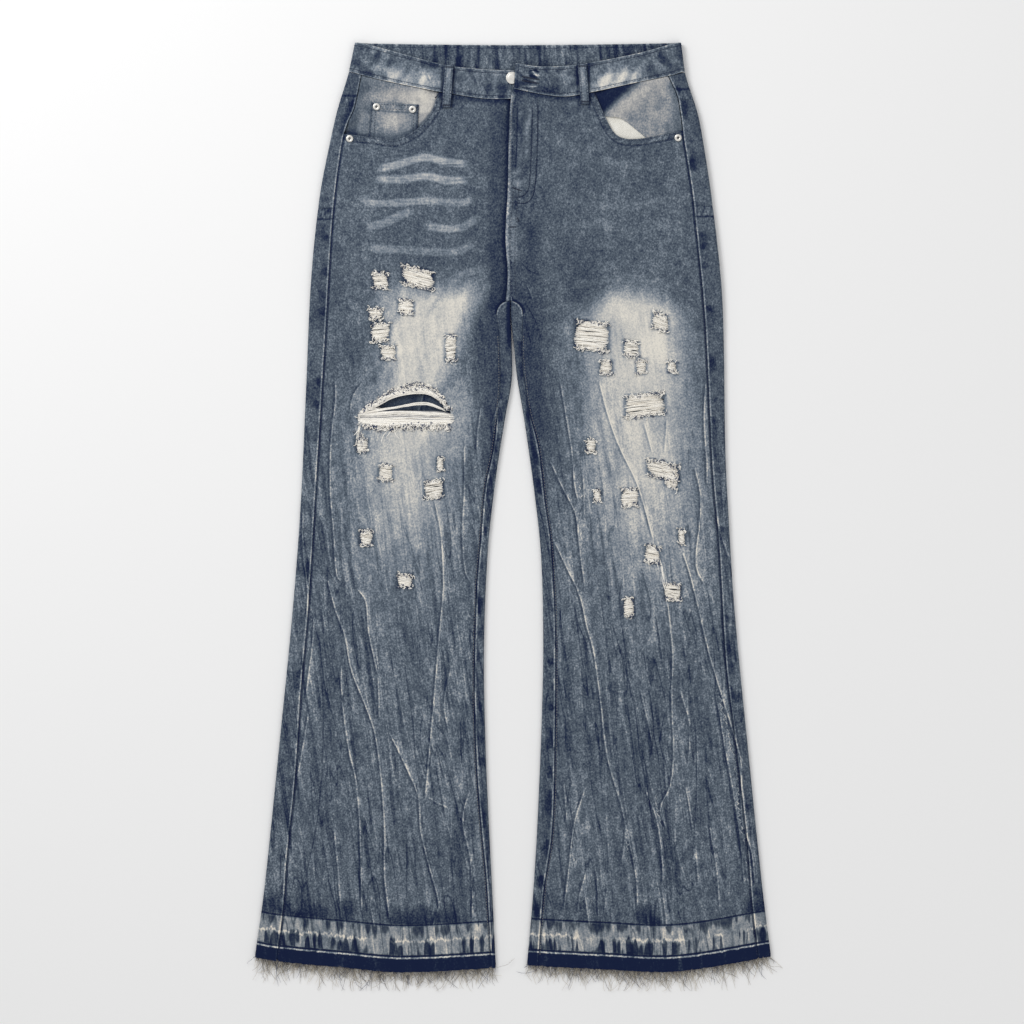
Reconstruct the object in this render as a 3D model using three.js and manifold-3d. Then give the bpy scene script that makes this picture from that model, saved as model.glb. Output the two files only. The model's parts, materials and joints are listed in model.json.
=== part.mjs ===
// Ripped flared jeans, laid flat on their back with the front up.
//
// Millimetres, +Z up, +Y from the hems to the waist, origin at the middle of the ground under them.
// Right and left are the wearer's, so the right leg lies on the -X side. The legs are flattened
// tubes: the back pieces rest on the ground and roll up over both edges, where they meet the
// narrower front panels in the outseams and inseams. Neighbouring pieces keep a small gap.
import * as THREE from 'three';
import { mergeVertices } from 'three/addons/utils/BufferGeometryUtils.js';
import Module from 'manifold-3d';

const wasm = await Module();
wasm.setup();

const DENIM = 1.2; // thickness of one layer of denim
const BAND = 2; // the waistband is two layers pressed together
const POCKETING = 1; // white cotton of the pocket bag
const GAP = 0.3; // clearance between neighbouring pieces
const WAIST_GAP = 0.5; // the same along curved seams, whose two sides have different corners
const SEAT_RAISE = 1.5; // the seat lies this high, on its pockets and belt loops
const CENTRE_BACK = -2.5; // x of the seam between the two seats
const YOKE_POINT = 428; // y of the yoke's lowest point, at the centre back
const WAIST_TOP = 540; // y of the two upper corners
const FRINGE_END = -540; // y that the loosest threads reach
const CROTCH = { x: -3.7, y: 231, radius: 15 }; // arc where the back rolls over to the fronts
const BUTTON = { x: -1, y: 499.5, radius: 7, height: 2.3 };
const RIVET = { radius: 4.1, height: 1.3 };

const INDIGO = 0x58627a;
const PALE_INDIGO = 0x7d8590;
const WHITE_COTTON = 0xe6e4d9;
const THREAD = 0xd8cfc0;
const NICKEL = 0xebe8e1;

// A smooth curve through [at, value] pairs in rising or falling order, as a function of at.
function curve(points) {
  const knots = points[0][0] < points[points.length - 1][0] ? points : [...points].reverse();
  const slope = (i, j) => (knots[j][1] - knots[i][1]) / (knots[j][0] - knots[i][0]);
  const last = knots.length - 1;
  return (at) => {
    let i = knots.findIndex((knot) => knot[0] > at) - 1;
    if (at <= knots[0][0]) i = 0;
    if (at >= knots[last][0]) i = last - 1;
    const width = knots[i + 1][0] - knots[i][0];
    const t = THREE.MathUtils.clamp((at - knots[i][0]) / width, 0, 1);
    const leaving = slope(Math.max(i - 1, 0), i + 1);
    const arriving = slope(i, Math.min(i + 2, last));
    const rise = knots[i + 1][1] - knots[i][1];
    const bend = t * (1 - t) * ((1 - t) * (leaving * width - rise) - t * (arriving * width - rise));
    return knots[i][1] + rise * t + bend;
  };
}

const ramp = (at, from, to) => THREE.MathUtils.smoothstep(at, from, to);
const mix = THREE.MathUtils.lerp;

// Heights of a layer's middle surface: a back piece on the ground, and a front piece on top.
const groundLevel = (y) => DENIM / 2 + SEAT_RAISE * ramp(y, 200, 225);
const topLevel = (y) => 4.6 + 1.6 * ramp(y, 195, 300) + 0.5 * ramp(y, 375, 410);
const BAND_BACK = SEAT_RAISE + BAND / 2;
const BAND_FRONT = topLevel(WAIST_TOP) - DENIM / 2 + BAND / 2;

// The right leg and the left one aren't quite alike, so each has curves of its own. Edges and seams
// give x for y, and the hem, the waist seams and the pocket mouth give y for x.
const RIGHT = {
  name: 'right',
  out: -1,
  outerEdge: curve([
    [540, -180], [507, -187], [467, -199], [433, -207], [366, -220], [270, -230], [140, -236],
    [13, -242], [-106, -251], [-267, -267], [-421, -283], [-502, -294],
  ]),
  outseam: curve([
    [502, -173], [465, -181], [449, -188], [430, -194], [347, -205], [196, -214.5], [11, -226],
    [-106, -233.5], [-196, -241.5], [-299, -248.5], [-386, -257.5], [-448, -262], [-502, -269],
  ]),
  inseam: curve([
    [231, -18.7], [207, -15.5], [156, -14], [133, -15.5], [77, -22], [34, -31], [-28, -36.5],
    [-84, -41], [-194, -43.5], [-284, -41], [-357, -35.5], [-414, -30], [-502, -24.5],
  ]),
  innerEdge: curve([
    [246, -2.65], [227, -2.65], [190, -1.2], [155, -1.5], [112, -9], [44, -19.5], [-38, -28.5],
    [-152, -33], [-266, -31], [-380, -26], [-502, -19.5],
  ]),
  waistTop: curve([[-180, 540], [-168, 538.5], [-80, 515], [-46, 510.5], [1, 508], [30, 507.5]]),
  waistSeam: curve([[-187, 507], [-153, 498], [-98, 486.5], [-66, 481], [-29, 476], [30, 477]]),
  mouth: curve([
    [-192.5, 436], [-153.5, 431.5], [-137, 429], [-125.5, 432], [-111.5, 440], [-99.5, 452],
    [-90, 466.5], [-85, 483],
  ]),
  hem: curve([[-294, -502], [-268, -506.5], [-189, -514], [-127, -519], [-20, -514]]),
  yokeSeam: 467.5,
  seatSeam: 351,
};
const LEFT = {
  name: 'left',
  out: 1,
  outerEdge: curve([
    [540, 191.5], [506, 196], [461, 210], [434, 215.5], [366, 226], [270, 237], [208, 240],
    [78, 242], [13, 245], [-106, 252.5], [-266, 268], [-421, 284], [-503, 294],
  ]),
  outseam: curve([
    [502, 177], [480, 187], [460, 191], [429, 195], [372, 204], [327, 209], [224, 219],
    [53, 227.5], [-33, 235], [-168, 243], [-241, 252], [-371, 267], [-444, 273], [-503, 280],
  ]),
  inseam: curve([
    [231, 11.3], [196, 10], [167, 11.5], [121, 18], [80, 28.5], [14, 36.5], [-23, 42],
    [-71, 45.5], [-128, 48], [-254, 47.5], [-357, 44.5], [-429, 34.5], [-508, 28],
  ]),
  innerEdge: curve([
    [246, -2.35], [227, -2.35], [190, 1.5], [160, 4.5], [106, 13.5], [23, 25], [-45, 32],
    [-140, 34.5], [-223, 33], [-346, 28], [-428, 23], [-508, 15.5],
  ]),
  waistTop: curve([[3, 516], [33, 512.5], [74, 515], [141, 527.5], [180, 538], [191.5, 540]]),
  waistSeam: curve([[1, 487.5], [33, 481], [60, 478.5], [90, 483.5], [141, 494.5], [196, 506]]),
  mouth: curve([
    [92.5, 484], [98, 471.5], [105, 455.5], [114, 439], [122, 432.5], [133.5, 430],
    [151.5, 431.5], [194, 440],
  ]),
  hem: curve([[15.5, -511], [102, -515.5], [186, -518], [294, -501]]),
  yokeSeam: 475,
  seatSeam: 354,
};
const SIDES = [RIGHT, LEFT];

// The left front's folded edge: the fly, then the rise seam down to the crotch.
const flyEdge = curve([
  [515, 3], [483, -1.5], [453, -4], [372, -6], [319, -8.5], [273, -6], [231, -10],
]);

// Back edge of the waistband as it lies: nearly straight.
const backWaistTop = (x) => WAIST_TOP - 2.5 * Math.cos((x / 400) * Math.PI);
const backWaistSeam = (x) => 506.5 - 3 * Math.cos((x / 400) * Math.PI);

// The left end of the waistband and the front below it ride over the right end and the button.
function flyLift(x, y) {
  const overBand = 2.3 * (1 - ramp(x, 34, 60)) * ramp(y, 435, 474);
  const away = Math.hypot(x - BUTTON.x, y - BUTTON.y);
  return overBand + 2.6 * (1 - ramp(away, 9, 24));
}

// Shared rows down the legs, as y at the middle of the row, so that both sides of a seam match.
const LEG_LEVELS = [300, 262, 246, 231, 225, 200, 160, 110, 50, -20, -100, -190, -280, -370, -440, -480];
const HIP_LEVELS = [450, 434, 415, 385];

// Below the last level a row bends to follow the hem.
const bentToHem = (side, x, share) => mix(LEG_LEVELS[LEG_LEVELS.length - 1], side.hem(x), share);

// One closed solid between two grids of points, the upper one above the lower one.
function slab(upper, lower) {
  const rows = upper.length;
  const columns = upper[0].length;
  const points = [...upper.flat(), ...lower.flat()];
  const corner = (layer, i, j) => (layer * rows + i) * columns + j;
  const triangles = [];
  const quad = (a, b, c, d) => triangles.push(a, b, c, a, c, d);
  for (let i = 0; i < rows - 1; i++) {
    for (let j = 0; j < columns - 1; j++) {
      quad(corner(0, i, j), corner(0, i + 1, j), corner(0, i + 1, j + 1), corner(0, i, j + 1));
      quad(corner(1, i, j), corner(1, i, j + 1), corner(1, i + 1, j + 1), corner(1, i + 1, j));
    }
    quad(corner(0, i, 0), corner(1, i, 0), corner(1, i + 1, 0), corner(0, i + 1, 0));
    const j = columns - 1;
    quad(corner(0, i + 1, j), corner(1, i + 1, j), corner(1, i, j), corner(0, i, j));
  }
  for (let j = 0; j < columns - 1; j++) {
    quad(corner(0, 0, j + 1), corner(1, 0, j + 1), corner(1, 0, j), corner(0, 0, j));
    const i = rows - 1;
    quad(corner(0, i, j), corner(1, i, j), corner(1, i, j + 1), corner(0, i, j + 1));
  }
  const geometry = new THREE.BufferGeometry();
  geometry.setAttribute('position', new THREE.Float32BufferAttribute(points.flatMap((p) => p.toArray()), 3));
  geometry.setIndex(triangles);
  return faceOutwards(geometry);
}

// Turns a closed mesh the right way out, by the sign of its volume.
function faceOutwards(geometry) {
  const position = geometry.getAttribute('position');
  const index = geometry.getIndex();
  const at = (i) => new THREE.Vector3().fromBufferAttribute(position, index.getX(i));
  let volume = 0;
  for (let i = 0; i < index.count; i += 3) {
    volume += at(i).dot(at(i + 1).cross(at(i + 2)));
  }
  if (volume < 0) {
    for (let i = 0; i < index.count; i += 3) {
      const kept = index.getX(i + 1);
      index.setX(i + 1, index.getX(i + 2));
      index.setX(i + 2, kept);
    }
  }
  return geometry;
}

// The upward or outward direction at each point of a grid, from its neighbours.
function normals(grid) {
  const facing = (i, j) => {
    const row = grid[i];
    const along = new THREE.Vector3().subVectors(
      row[Math.min(j + 1, row.length - 1)],
      row[Math.max(j - 1, 0)],
    );
    const down = new THREE.Vector3().subVectors(
      grid[Math.max(i - 1, 0)][j],
      grid[Math.min(i + 1, grid.length - 1)][j],
    );
    return along.cross(down).normalize();
  };
  return grid.map((row, i) => row.map((point, j) => facing(i, j)));
}

// A grid moved out along its own directions.
function movedOut(grid, distance) {
  const facing = normals(grid);
  return grid.map((row, i) => row.map((point, j) => point.clone().addScaledVector(facing[i][j], distance)));
}

// A wall of cloth about a grid of points on its middle surface.
const cloth = (grid, thickness) => slab(movedOut(grid, thickness / 2), movedOut(grid, -thickness / 2));

function asSolid(geometry) {
  const bare = geometry.clone();
  bare.deleteAttribute('normal');
  bare.deleteAttribute('uv');
  const merged = mergeVertices(bare, 1e-4);
  return new wasm.Manifold(new wasm.Mesh({
    numProp: 3,
    vertProperties: merged.getAttribute('position').array,
    triVerts: new Uint32Array(merged.getIndex().array),
  }));
}

function asGeometry(solid) {
  const mesh = solid.getMesh();
  const geometry = new THREE.BufferGeometry();
  geometry.setAttribute('position', new THREE.BufferAttribute(mesh.vertProperties, 3));
  geometry.setIndex(new THREE.BufferAttribute(mesh.triVerts, 1));
  return geometry;
}

// An upright cutter through every layer, from an outline of [x, y] corners.
function cutter(corners) {
  const shape = new THREE.Shape(corners.map(([x, y]) => new THREE.Vector2(x, y)));
  return asSolid(new THREE.ExtrudeGeometry(shape, { depth: 40, bevelEnabled: false }).translate(0, 0, -10));
}

function circle(x, y, radius, count) {
  return Array.from({ length: count }, (_, i) => {
    const turn = (i / count) * 2 * Math.PI;
    return [x + radius * Math.cos(turn), y + radius * Math.sin(turn)];
  });
}

const jeans = new THREE.Group();

function addPiece(name, geometry, color, metalness = 0, roughness = 0.9) {
  const material = new THREE.MeshStandardMaterial({ color, metalness, roughness });
  const piece = new THREE.Mesh(geometry, material);
  piece.name = name;
  jeans.add(piece);
}

// Back pieces. A row runs from the outseam over the outer edge and along the ground to the middle.
const FOLD_TURNS = [90, 45, 0, -45, -90].map(THREE.MathUtils.degToRad);

// The points of one row round an edge, from the top layer to the ground.
function foldRow(edge, out, y) {
  const radius = (topLevel(y) - groundLevel(y)) / 2;
  const middle = (topLevel(y) + groundLevel(y)) / 2;
  const centre = edge - out * (DENIM / 2 + radius);
  return FOLD_TURNS.map((turn) => new THREE.Vector3(
    centre + out * radius * Math.cos(turn),
    y,
    middle + radius * Math.sin(turn),
  ));
}

// yAt gives a row's y for x, on the top layer and on the ground.
function backRow(side, y, endX, yAtTop, yAtGround) {
  const fold = foldRow(side.outerEdge(y), side.out, y);
  const seamX = side.outseam(yAtTop(side.outseam(y))) + side.out * (GAP / 2);
  const strip = [0, 0.5].map((share) => new THREE.Vector3(mix(seamX, fold[0].x, share), y, topLevel(y)));
  const ground = [0.15, 0.33, 0.5, 0.67, 0.83, 1].map((share) => (
    new THREE.Vector3(mix(fold[4].x, endX, share), y, groundLevel(y))
  ));
  const upper = [...strip, fold[0], fold[1]];
  const lower = [fold[3], fold[4], ...ground];
  upper.forEach((point) => { point.y = yAtTop(point.x); });
  lower.forEach((point) => { point.y = yAtGround(point.x); });
  fold[2].y = (yAtTop(fold[2].x) + yAtGround(fold[2].x)) / 2;
  return [...upper, fold[2], ...lower];
}

const orderedForSide = (side, row) => (side === RIGHT ? row.reverse() : row);

for (const side of SIDES) {
  const middle = CENTRE_BACK + side.out * (GAP / 2);
  const shareOut = (x) => Math.min(1, (x - CENTRE_BACK) / (side.outerEdge(side.yokeSeam) - CENTRE_BACK));
  const yokeSeamAtGround = (x) => mix(YOKE_POINT, side.yokeSeam, shareOut(x));
  const level = (y) => () => y;

  const yoke = [0, 0.5, 1].map((share) => {
    const height = mix(side.waistSeam(side.outerEdge(507)), side.yokeSeam, share);
    const yAtTop = (x) => mix(side.waistSeam(x) - GAP, side.yokeSeam + GAP / 2, share);
    const yAtGround = (x) => mix(backWaistSeam(x) - GAP, yokeSeamAtGround(x) + GAP / 2, share);
    return orderedForSide(side, backRow(side, height, middle, yAtTop, yAtGround));
  });
  addPiece(`${side.name}_yoke`, cloth(yoke, DENIM), INDIGO);

  const seatLevels = [side.yokeSeam - GAP / 2, ...HIP_LEVELS, side.seatSeam + GAP / 2];
  const seat = seatLevels.map((y) => {
    const share = (y - side.seatSeam) / (side.yokeSeam - side.seatSeam);
    const yAtGround = (x) => mix(side.seatSeam, yokeSeamAtGround(x), share);
    return orderedForSide(side, backRow(side, y, middle, level(y), yAtGround));
  });
  addPiece(`${side.name}_back_seat`, cloth(seat, DENIM), INDIGO);

  const innerFold = (y) => foldRow(side.innerEdge(y), -side.out, y);
  const legBack = [side.seatSeam - GAP / 2, ...LEG_LEVELS].map((y) => {
    const endX = y > CROTCH.y + CROTCH.radius - 1 ? middle : innerFold(y)[4].x;
    return backRow(side, y, endX, level(y), level(y));
  });
  const hemY = (share) => (x) => bentToHem(side, x, share);
  const lowest = LEG_LEVELS[LEG_LEVELS.length - 1];
  const hemRow = backRow(side, side.hem(side.outerEdge(-500)), innerFold(lowest)[4].x, hemY(1), hemY(1));
  const back = [...legBack, hemRow].map((row) => orderedForSide(side, row));

  // The strip that rolls over the inner edge to the inseam, up to the arc at the crotch.
  const freeEdge = (y) => {
    if (y <= CROTCH.y) return side.inseam(y) - side.out * (GAP / 2);
    const reach = CROTCH.radius - GAP;
    return CROTCH.x + side.out * Math.sqrt(reach ** 2 - (y - CROTCH.y) ** 2);
  };
  const innerRow = (y, yAt) => {
    const fold = innerFold(y);
    const anchor = new THREE.Vector3(fold[4].x + side.out * 8, y, groundLevel(y));
    const seam = new THREE.Vector3(freeEdge(y), y, topLevel(y));
    const row = [seam, ...fold, anchor];
    row.forEach((point) => { point.y = yAt(point.x); });
    return side === LEFT ? row.reverse() : row;
  };
  const crotchTop = CROTCH.y + CROTCH.radius;
  const capLevels = [0.6, 4, 9].map((down) => crotchTop - down);
  const innerLevels = [...capLevels, ...LEG_LEVELS.filter((y) => y <= CROTCH.y)];
  const strip = [...innerLevels.map((y) => innerRow(y, level(y))), innerRow(-502, hemY(1))];
  const leg = asSolid(cloth(back, DENIM)).add(asSolid(cloth(strip, DENIM)));
  addPiece(`${side.name}_back_leg`, asGeometry(leg), INDIGO);
}

// Front panels, with the pocket mouth, the crotch arc and the rips cut out. A rip is given by its
// middle, width and height, and the long slash above the right knee by its corners.
const RIPS = {
  right: [
    [-151, 269, 16, 16], [-108, 272, 35, 21], [-122, 239, 17, 14], [-156, 231, 14, 11],
    [-151, 210, 20, 19], [-142, 187, 16, 13], [-71, 192, 11, 28], [-172, 81, 12, 13],
    [-145, 50, 15, 16], [-83, 60, 7, 14], [-90, 31, 21, 18], [-167, -24, 13, 16], [-123, -73, 16, 13],
  ],
  left: [
    [90, 206, 37, 32], [168, 222, 17, 18], [135, 191, 16, 16], [106, 170, 13, 14], [146, 171, 10, 14],
    [181, 170, 9, 11], [150, 127, 45, 24], [89, 80, 10, 14], [174, 49, 33, 27], [96, 24, 7, 11],
    [133, 22, 18, 18], [192, -23, 7, 16], [159, -43, 16, 18], [182, -86, 18, 16], [132, -103, 11, 19],
  ],
};
const SLASH = [
  [-172, 106], [-169, 122], [-156, 132], [-138, 141], [-115, 144], [-92, 141], [-76, 131],
  [-70, 117], [-76, 107], [-95, 103], [-120, 101], [-145, 100], [-162, 99],
];

// A rip's outline is a rounded oblong: the loose threads run across it.
function ripCorners([x, y, width, height]) {
  return circle(0, 0, 1, 10).map(([across, up]) => {
    const square = (value) => Math.sign(value) * Math.sqrt(Math.abs(value));
    return [x + (width / 2) * square(across), y + (height / 2) * square(up)];
  });
}

// The part of a front panel's square corner that lies above the pocket mouth.
function mouthCorners(side) {
  const start = side === RIGHT ? -85 : 92.5;
  const end = side.outseam(436) + side.out * 6;
  const edge = Array.from({ length: 15 }, (_, i) => mix(start, end, (i / 14) ** 1.4));
  return [[start, 530], ...edge.map((x) => [x, side.mouth(x)]), [end, 530]];
}

// The right front runs on under the fly; both are flat elsewhere.
function frontRow(side, y, yAt) {
  const outX = side.outseam(y) - side.out * (GAP / 2);
  if (side === RIGHT) {
    const edge = flyEdge(y);
    const under = y > CROTCH.y - 3 ? mix(4, 12, ramp(y, 262, 300)) : 0;
    const inX = side.inseam(y) + side.out * (GAP / 2);
    const tail = under > 0 ? [edge - 1, edge + under] : [mix(outX, inX, 0.96), inX];
    const flatEnd = under > 0 ? edge - 8 : mix(outX, inX, 0.91);
    const flat = [0, 0.11, 0.27, 0.44, 0.6, 0.76, 0.9, 1].map((share) => (
      new THREE.Vector3(mix(outX, flatEnd, share), y, topLevel(y))
    ));
    const dropped = under > 0 ? topLevel(y) - DENIM - GAP - 0.1 : topLevel(y);
    const row = [...flat, ...tail.map((x) => new THREE.Vector3(x, y, dropped))];
    row.forEach((point) => { point.y = yAt(point.x); });
    return row;
  }
  const inX = y > CROTCH.y - 3 ? flyEdge(y) : side.inseam(y) + side.out * (GAP / 2);
  const shares = [0, 0.045, 0.09, 0.17, 0.3, 0.4, 0.52, 0.64, 0.76, 0.9, 1];
  const row = shares.map((share) => new THREE.Vector3(mix(inX, outX, share), y, topLevel(y)));
  row.forEach((point) => {
    point.y = yAt(point.x);
    point.z += flyLift(point.x, point.y);
  });
  return row;
}

// The fronts end in an arc round the crotch, and below it at the inseams.
const crotchArc = circle(CROTCH.x, CROTCH.y, CROTCH.radius + GAP / 2, 24).slice(0, 13);
const underCrotch = SIDES.map((side) => [side.inseam(225) + side.out * (GAP / 2), 225]);
const crotchCutter = cutter([...crotchArc, ...underCrotch]);
for (const side of SIDES) {
  const level = (y) => () => y;
  const underWaist = [0, 0.4].map((share) => (
    frontRow(side, 472, (x) => mix(side.waistSeam(x) - WAIST_GAP, HIP_LEVELS[0], share))
  ));
  const rows = [side.seatSeam, ...LEG_LEVELS].map((y) => frontRow(side, y, level(y)));
  const hips = HIP_LEVELS.map((y) => frontRow(side, y, level(y)));
  const hemRow = frontRow(side, -502, (x) => bentToHem(side, x, 1));
  let panel = asSolid(cloth([...underWaist, ...hips, ...rows, hemRow], DENIM));
  panel = panel.subtract(cutter(mouthCorners(side))).subtract(crotchCutter);
  for (const rip of RIPS[side.name]) panel = panel.subtract(cutter(ripCorners(rip)));
  if (side === RIGHT) panel = panel.subtract(cutter(SLASH));
  addPiece(`${side.name}_front_panel`, asGeometry(panel), INDIGO);
}

// Waistband: one strip from the right end under the fly, round the back, to the left end on top.
function bandColumn(topX, topY, bottomX, bottomY, z) {
  return [0, 0.5, 1].map((share) => new THREE.Vector3(
    mix(topX, bottomX, share),
    mix(topY, bottomY, share),
    z,
  ));
}

function bandFold(side) {
  const radius = (BAND_FRONT - BAND_BACK) / 2;
  const middle = (BAND_FRONT + BAND_BACK) / 2;
  const turns = side === RIGHT ? FOLD_TURNS : [...FOLD_TURNS].reverse();
  return turns.map((turn) => {
    const inset = side.out * (BAND / 2 + radius - radius * Math.cos(turn));
    const [top, bottom] = [540, 507].map((y) => side.outerEdge(y) - inset);
    return bandColumn(top, WAIST_TOP, bottom, 506.5, middle + radius * Math.sin(turn));
  });
}

const bandColumns = [];
for (const x of [30, 14, 1, -22, -46, -63, -80, -100, -124, -150, -168]) {
  const lower = x < 0 ? x * 1.039 : x;
  bandColumns.push(bandColumn(x, RIGHT.waistTop(x), lower, RIGHT.waistSeam(lower), BAND_FRONT));
}
bandColumns.push(...bandFold(RIGHT));
for (const x of [-150, -110, -70, -30, 5, 40, 80, 120, 160]) {
  bandColumns.push(bandColumn(x, backWaistTop(x), x * 1.03, backWaistSeam(x), BAND_BACK));
}
bandColumns.push(...bandFold(LEFT));
for (const x of [180, 162, 141, 118, 96, 74, 54, 40, 30, 20, 12, 3]) {
  const lower = x * 1.02 - 2 * (1 - ramp(x, 3, 30));
  const column = bandColumn(x, LEFT.waistTop(x), lower, LEFT.waistSeam(lower), BAND_FRONT);
  column.forEach((point) => { point.z += flyLift(point.x, point.y); });
  bandColumns.push(column);
}
const bandGrid = [0, 1, 2].map((i) => bandColumns.map((column) => column[i]));
addPiece('waistband', cloth(bandGrid, BAND), INDIGO);

// Pocket facings: the denim seen inside each pocket mouth. Rows run from the waist seam down.
const FACING_COLUMNS = [0, 0.07, 0.15, 0.26, 0.38, 0.5, 0.61, 0.72, 0.82, 0.91, 1];
const FACING_ROWS = [0, 0.1, 0.2, 0.3, 0.5, 0.7, 0.9, 1];
const FACINGS = {
  right: {
    innerX: -74,
    bottom: curve([[-200, 414], [-137, 409], [-111, 418], [-92, 440], [-74, 466]]),
    level: 3.7,
    openFrom: -92,
  },
  left: {
    innerX: 82,
    bottom: curve([[82, 456], [110, 455.5], [124, 453], [150, 433], [172, 416], [200, 411]]),
    level: 4.9,
    openFrom: 99,
  },
};

// The left facing sags open: a soft fold runs from the waist seam down into the mouth.
function facingFold(x, y) {
  const across = ((x - 141) * 31 - (y - 493) * 33) / Math.hypot(31, 33);
  const crest = across > 0 ? 1 - ramp(across, 4, 42) : 1 - ramp(-across, 0, 9);
  return 1.5 * crest * ramp(y, 446, 470) * ramp(x, 104, 116);
}

function facingPoint(side, facing, columnShare, rowShare) {
  const seamX = (y) => side.outseam(y) - side.out * 0.8;
  const top = (x) => side.waistSeam(x) - WAIST_GAP;
  let x = mix(seamX(470), facing.innerX, columnShare);
  let y = mix(top(x), facing.bottom(x), rowShare);
  for (let pass = 0; pass < 3; pass++) {
    x = mix(seamX(y), facing.innerX, columnShare);
    y = mix(top(x), facing.bottom(x), rowShare);
  }
  const open = ramp((x - facing.openFrom) * side.out, 0, 14);
  const nearWaist = 1 - ramp(top(x) - y, 0, 20);
  const nearSeam = (1 - ramp(Math.abs(x - seamX(y)), 0, 16)) * ramp(y, 441, 452);
  const rise = (topLevel(y) - facing.level) * open * Math.max(nearWaist, nearSeam);
  const fold = side === LEFT ? facingFold(x, y) * (1 - nearWaist) * (1 - nearSeam) : 0;
  return new THREE.Vector3(x, y, facing.level + rise + fold);
}

const facingGrids = {};
for (const side of SIDES) {
  const facing = FACINGS[side.name];
  const grid = FACING_ROWS.map((rowShare) => {
    const row = FACING_COLUMNS.map((columnShare) => facingPoint(side, facing, columnShare, rowShare));
    return side === LEFT ? row.reverse() : row;
  });
  facingGrids[side.name] = grid;
  addPiece(`${side.name}_pocket_facing`, cloth(grid, DENIM), PALE_INDIGO);
}

// Coin pocket: lies on the right facing, its lower end under the pocket mouth.
const coinPatch = facingGrids.right.slice(3, 7).map((row) => row.slice(3, 8));
const coinGrid = movedOut(coinPatch, DENIM + GAP);
addPiece('coin_pocket', cloth(coinGrid, DENIM), PALE_INDIGO);

// White pocket bag: shows in the left mouth beside the facing, which it lies under.
const bagLevel = SEAT_RAISE + DENIM + GAP + POCKETING / 2;
const bagGrid = [464, 448, 433, 416].map((y) => [94, 110, 128, 148, 168].map((x) => (
  new THREE.Vector3(x + (464 - y) * 0.12, y, bagLevel)
)));
addPiece('left_pocket_bag', cloth(bagGrid, POCKETING), WHITE_COTTON);

// Back pockets: plain patches under the seat, pointed at the bottom.
const BACK_POCKET = { middle: 103, width: 150, taper: 14, top: 415, height: 150, point: 22 };
for (const side of SIDES) {
  const grid = [0, 0.33, 0.66, 1].map((down) => [-1, -0.5, 0, 0.5, 1].map((across) => {
    const half = (BACK_POCKET.width - BACK_POCKET.taper * down) / 2;
    const point = BACK_POCKET.point * down * (1 - Math.abs(across));
    const x = CENTRE_BACK + side.out * BACK_POCKET.middle + half * across;
    return new THREE.Vector3(x, BACK_POCKET.top - BACK_POCKET.height * down - point, DENIM / 2);
  }));
  addPiece(`${side.name}_back_pocket`, cloth(grid, DENIM), INDIGO);
}

// Belt loops: two arch over the front of the waistband, three lie flat under its back.
const LOOP_WIDTH = 10.5;
function addLoop(name, stations) {
  const grid = stations.map(([x, y, z]) => [-0.5, 0.5].map((across) => (
    new THREE.Vector3(x + LOOP_WIDTH * across, y, z)
  )));
  addPiece(name, cloth(grid, DENIM), INDIGO);
}

const overBand = BAND_FRONT + BAND / 2 + GAP + DENIM / 2;
const overPanel = topLevel(WAIST_TOP) + DENIM + GAP;
addLoop('belt_loop_front_right', [
  [-72.5, 514.5, overBand], [-73.4, 503, overBand + 0.7], [-74.4, 490, overBand + 0.7],
  [-75.2, 478, overBand + 0.3], [-76, 466, overPanel],
]);
addLoop('belt_loop_front_left', [
  [78.5, 515.5, overBand], [79.5, 504, overBand + 0.7], [80.6, 491, overBand + 0.7],
  [81.4, 479.5, overBand + 0.3], [82, 470, overPanel],
]);
const backLoops = { right: -112, middle: CENTRE_BACK, left: 107 };
for (const [place, x] of Object.entries(backLoops)) {
  addLoop(`belt_loop_back_${place}`, [[x, 536, DENIM / 2], [x, 512, DENIM / 2], [x, 487, DENIM / 2]]);
}

// Fringe: the reach of the loose threads below each raw edge, one layer for each side of the tube.
for (const side of SIDES) {
  const stations = Array.from({ length: 13 }, (_, i) => i / 12);
  for (const layer of ['front', 'back']) {
    const start = layer === 'front' ? topLevel(-500) : groundLevel(-500);
    const grid = [0, 0.5, 1].map((down) => {
      const row = stations.map((share) => {
        const x = mix(side.outerEdge(-502) - side.out * 3, side.innerEdge(-508) + side.out * 3, share);
        const end = FRINGE_END + 9 * (1 - Math.sin(share * Math.PI));
        const z = layer === 'front' ? mix(start, 2.3, down ** 0.8) : start;
        return new THREE.Vector3(x, mix(side.hem(x) - 2 * WAIST_GAP, end, down), z);
      });
      return side === LEFT ? row.reverse() : row;
    });
    addPiece(`${side.name}_hem_fringe_${layer}`, cloth(grid, DENIM), THREAD);
  }
}

// Metal: a tack button with a shank, and rivets with a sunken middle, turned about upright axes.
function addTurned(name, profile, segments, x, y, z) {
  const points = profile.map(([radius, height]) => new THREE.Vector2(radius, height));
  const geometry = new THREE.LatheGeometry(points, segments).rotateX(Math.PI / 2).translate(x, y, z);
  addPiece(name, geometry, NICKEL, 1, 0.3);
}

const bandFace = BAND_FRONT + BAND / 2 + GAP / 2;
addTurned('waist_button', [
  [0, 0], [3, 0], [3, 0.7], [BUTTON.radius - 0.6, 0.7], [BUTTON.radius, 1.2], [BUTTON.radius - 0.4, 1.8],
  [BUTTON.radius - 2, 2.2], [0, BUTTON.height],
], 24, BUTTON.x, BUTTON.y, bandFace);

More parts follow.
